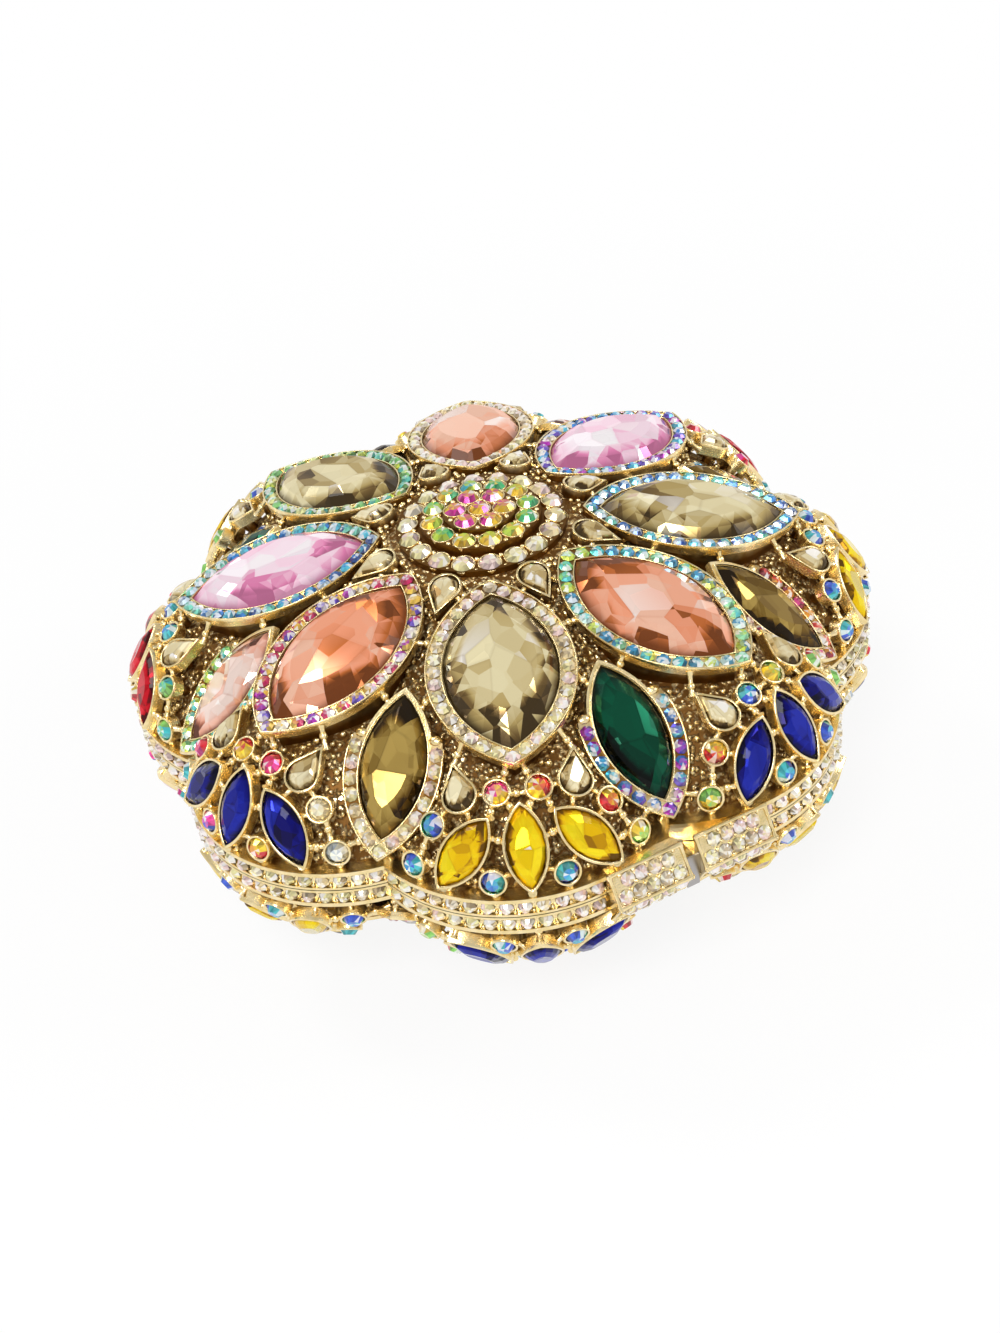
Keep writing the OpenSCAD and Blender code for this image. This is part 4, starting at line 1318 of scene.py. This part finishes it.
class CLUTCH_OT_struts(PieceOperator, bpy.types.Operator):
    """Gold struts with a ball on them, from each setting to its neighbours"""

    bl_idname = "clutch.struts"
    bl_label = "Struts"

    # Millimetres between settings' middles and edges, and a strut's length with a ball
    FARTHEST, NEAREST, BALL_FROM = 45, 0.5, 1.5

    # How far struts run into their settings, and the balls on the sides of medium flanges
    OVERRUN, FLANGE_BALL, FLANGE_BALL_GROW = 0.8, (-5.5, 7.15, -0.45), (1.3, 1.75, 1.0, 1)

    def make(self):
        s = sizes()
        bar, ball = strut(s.strut_r / MM), grain(s.strut_r / MM * 1.75)
        bars, balls = self.links(s.strut_reach / MM)
        x, y, z = self.FLANGE_BALL
        balls += [
            p @ shift(x, side * y, z) @ Matrix.Diagonal(self.FLANGE_BALL_GROW)
            for p in places("medium") for side in (-1, 1)
        ]
        for half, into in HALVES.items():
            finish = gold_finish(f"{half}_strut_gold", half, (-0.9, 1.3))
            for name, piece, spots in (("struts", bar, bars), ("strut_balls", ball, balls)):
                add_piece(piece, half, name, [into @ p for p in spots], finish)
        away(bar, ball)

    def links(self, reach):
        """Struts between settings that stand near, and balls on the longer ones."""
        chance = random.Random(23)
        edges = self.edges()
        bars, balls = [], []
        for i, one in enumerate(edges):
            for other in edges[i + 1:]:
                if np.linalg.norm(one.mean(0) - other.mean(0)) > self.FARTHEST:
                    continue
                gaps = np.linalg.norm(one[:, None] - other[None], axis=2)
                a, b = np.unravel_index(gaps.argmin(), gaps.shape)
                if not self.NEAREST < gaps[a, b] < reach:
                    continue
                first, last = Vector(one[a]), Vector(other[b])
                bars.append(along(first, last, self.OVERRUN))
                if gaps[a, b] > self.BALL_FROM:
                    balls.append(Matrix.Translation(first.lerp(last, chance.uniform(0.35, 0.65)) * MM))
        return bars, balls

    def edges(self):
        """Points round the outer edge of each setting and along the rim, a little below the stones."""
        pear = (self.pear_edge(), -0.9)
        forms = {
            "large": (oval_points(LARGE, 3.1, 1.6), -1.2),
            "medium": (oval_points(MEDIUM, 1.2, 1.6), -1.2),
            "fan": (oval_points(FAN, 0.5, 1.0), -0.9),
            "pear": pear,
            "round": (self.arc(ROUND_R + 0.5, np.linspace(0, math.tau, 16, endpoint=False)), -0.9),
            "inner_pear": pear,
        }
        rim = self.arc(LOBE_R - 2.2, np.radians(np.arange(-70, 71, 2.0)))
        edges = []
        for k in LOBES:
            near = [(place, *forms[kind]) for kind in SETTINGS for place in SETTINGS[kind][k]]
            near.append((lobe(k) @ shift(LOBE_D, 0, 0), rim, BAND_H))
            for place, points, z in near:
                edges.append(np.array([place @ (Vector((x, y, z)) * MM) for x, y in points]) / MM)
        return edges

    def arc(self, r, angles):
        return [(r * math.cos(t), r * math.sin(t)) for t in angles]

    def pear_edge(self):
        r, tip, middle, reach = pear_curve(0.5)
        points = [(x - middle, y) for x, y in self.arc(r, np.linspace(reach, math.tau - reach, 14))]
        x, y = r * math.cos(reach), r * math.sin(reach)
        for share in (0.35, 0.7, 1):
            for side in (-1, 1):
                points.append((x + (tip - x) * share - middle, side * y * (1 - share)))
        return points


class CLUTCH_OT_grains(PieceOperator, bpy.types.Operator):
    """Gold grains on the shell, between the settings"""

    bl_idname = "clutch.grains"
    bl_label = "Gold grains"

    TRIES, FOOT_GAP, ROSETTE_FOOT, SETTING_DEPTH = 16000, 0.8, 18.5, 14

    # Outline and margin that a grain keeps clear of. Without an outline the margin is a radius
    ZONES = {
        "large": (LARGE, 1.6), "medium": (MEDIUM, 0.8), "fan": (FAN, 0.6),
        "pear": (None, 3.5), "inner_pear": (None, 3.5), "round": (None, ROUND_R + 0.7),
    }

    def make(self):
        ball = grain(sizes().grain_r / MM)
        spots = self.spots(sizes().grain_gap / MM)
        for half, into in HALVES.items():
            finish = gold_finish(f"{half}_grain_gold", half, (-1.4, 0.7))
            add_piece(ball, half, "grains", [into @ p for p in spots], finish)
        away(ball)

    def spots(self, gap):
        """Places square on the shell, clear of the settings."""
        chance = random.Random(17)
        keep_out = [(p.inverted(), *zone) for kind, zone in self.ZONES.items() for p in places(kind)]
        chosen, middles = [], []
        for _ in range(self.TRIES):
            a, r = chance.uniform(0, math.tau), TIP_R * math.sqrt(chance.random())
            x, y = r * math.cos(a), r * math.sin(a)
            z = shell_z(x, y)
            if z is None or z < BAND_H + self.FOOT_GAP or r < self.ROSETTE_FOOT:
                continue
            at = Vector((x, y, z))
            if any((at - m).length_squared < gap * gap for m in middles):
                continue
            if any(self.covered(at * MM, *zone) for zone in keep_out):
                continue
            grow = chance.uniform(0.45, 1.3)
            up = self.normal(x, y) * chance.uniform(0.1, 0.8)
            chosen.append(Matrix.Translation((at + up) * MM) @ Matrix.Diagonal((grow, grow, grow, 1)))
            middles.append(at)
        return chosen

    def covered(self, at, into, size, margin):
        """Whether a point lies under a setting or within its margin."""
        local = into @ at / MM
        if local.z > 0 or local.z < -self.SETTING_DEPTH:
            return False
        if size is None:
            return local.x**2 + local.y**2 < margin**2
        long, wide = size
        bow = arc_radius(long / 2, wide / 2)
        return max(abs(local.y) + bow - wide / 2, 0) ** 2 + local.x**2 < (bow + margin) ** 2

    def normal(self, x, y):
        step = 0.4
        z = shell_z(x, y)
        dx = (shell_z(x + step, y) or z) - (shell_z(x - step, y) or z)
        dy = (shell_z(x, y + step) or z) - (shell_z(x, y - step) or z)
        return Vector((-dx / (2 * step), -dy / (2 * step), 1)).normalized()


class CLUTCH_PT_panel(bpy.types.Panel):
    """Lists the pieces of the clutch"""

    bl_label = "Crystal clutch"
    bl_idname = "CLUTCH_PT_panel"
    bl_space_type = "VIEW_3D"
    bl_region_type = "UI"
    bl_category = "Clutch"

    def draw(self, context):
        for group in (sizes(), colours()):
            for name in group.__annotations__:
                self.layout.prop(group, name)
        for operator in OPERATORS:
            self.layout.operator(operator.bl_idname)


OPERATORS = (
    CLUTCH_OT_stage, CLUTCH_OT_metal, CLUTCH_OT_large_gems, CLUTCH_OT_medium_gems,
    CLUTCH_OT_fan_gems, CLUTCH_OT_pear_gems, CLUTCH_OT_round_gems, CLUTCH_OT_rosette_gems,
    CLUTCH_OT_rosette_cups, CLUTCH_OT_rim_gems, CLUTCH_OT_clasp_gems, CLUTCH_OT_halos,
    CLUTCH_OT_wires, CLUTCH_OT_struts, CLUTCH_OT_grains,
)
CLASSES = (ClutchSizes, ClutchColours, *OPERATORS, CLUTCH_PT_panel)


def register():
    for cls in CLASSES:
        bpy.utils.register_class(cls)
    bpy.types.Scene.clutch_sizes = bpy.props.PointerProperty(type=ClutchSizes)
    bpy.types.Scene.clutch_colours = bpy.props.PointerProperty(type=ClutchColours)


def unregister():
    del bpy.types.Scene.clutch_colours
    del bpy.types.Scene.clutch_sizes
    for cls in reversed(CLASSES):
        bpy.utils.unregister_class(cls)


def main():
    register()
    for operator in OPERATORS:
        group, name = operator.bl_idname.split(".")
        getattr(getattr(bpy.ops, group), name)()


if __name__ == "__main__":
    main()
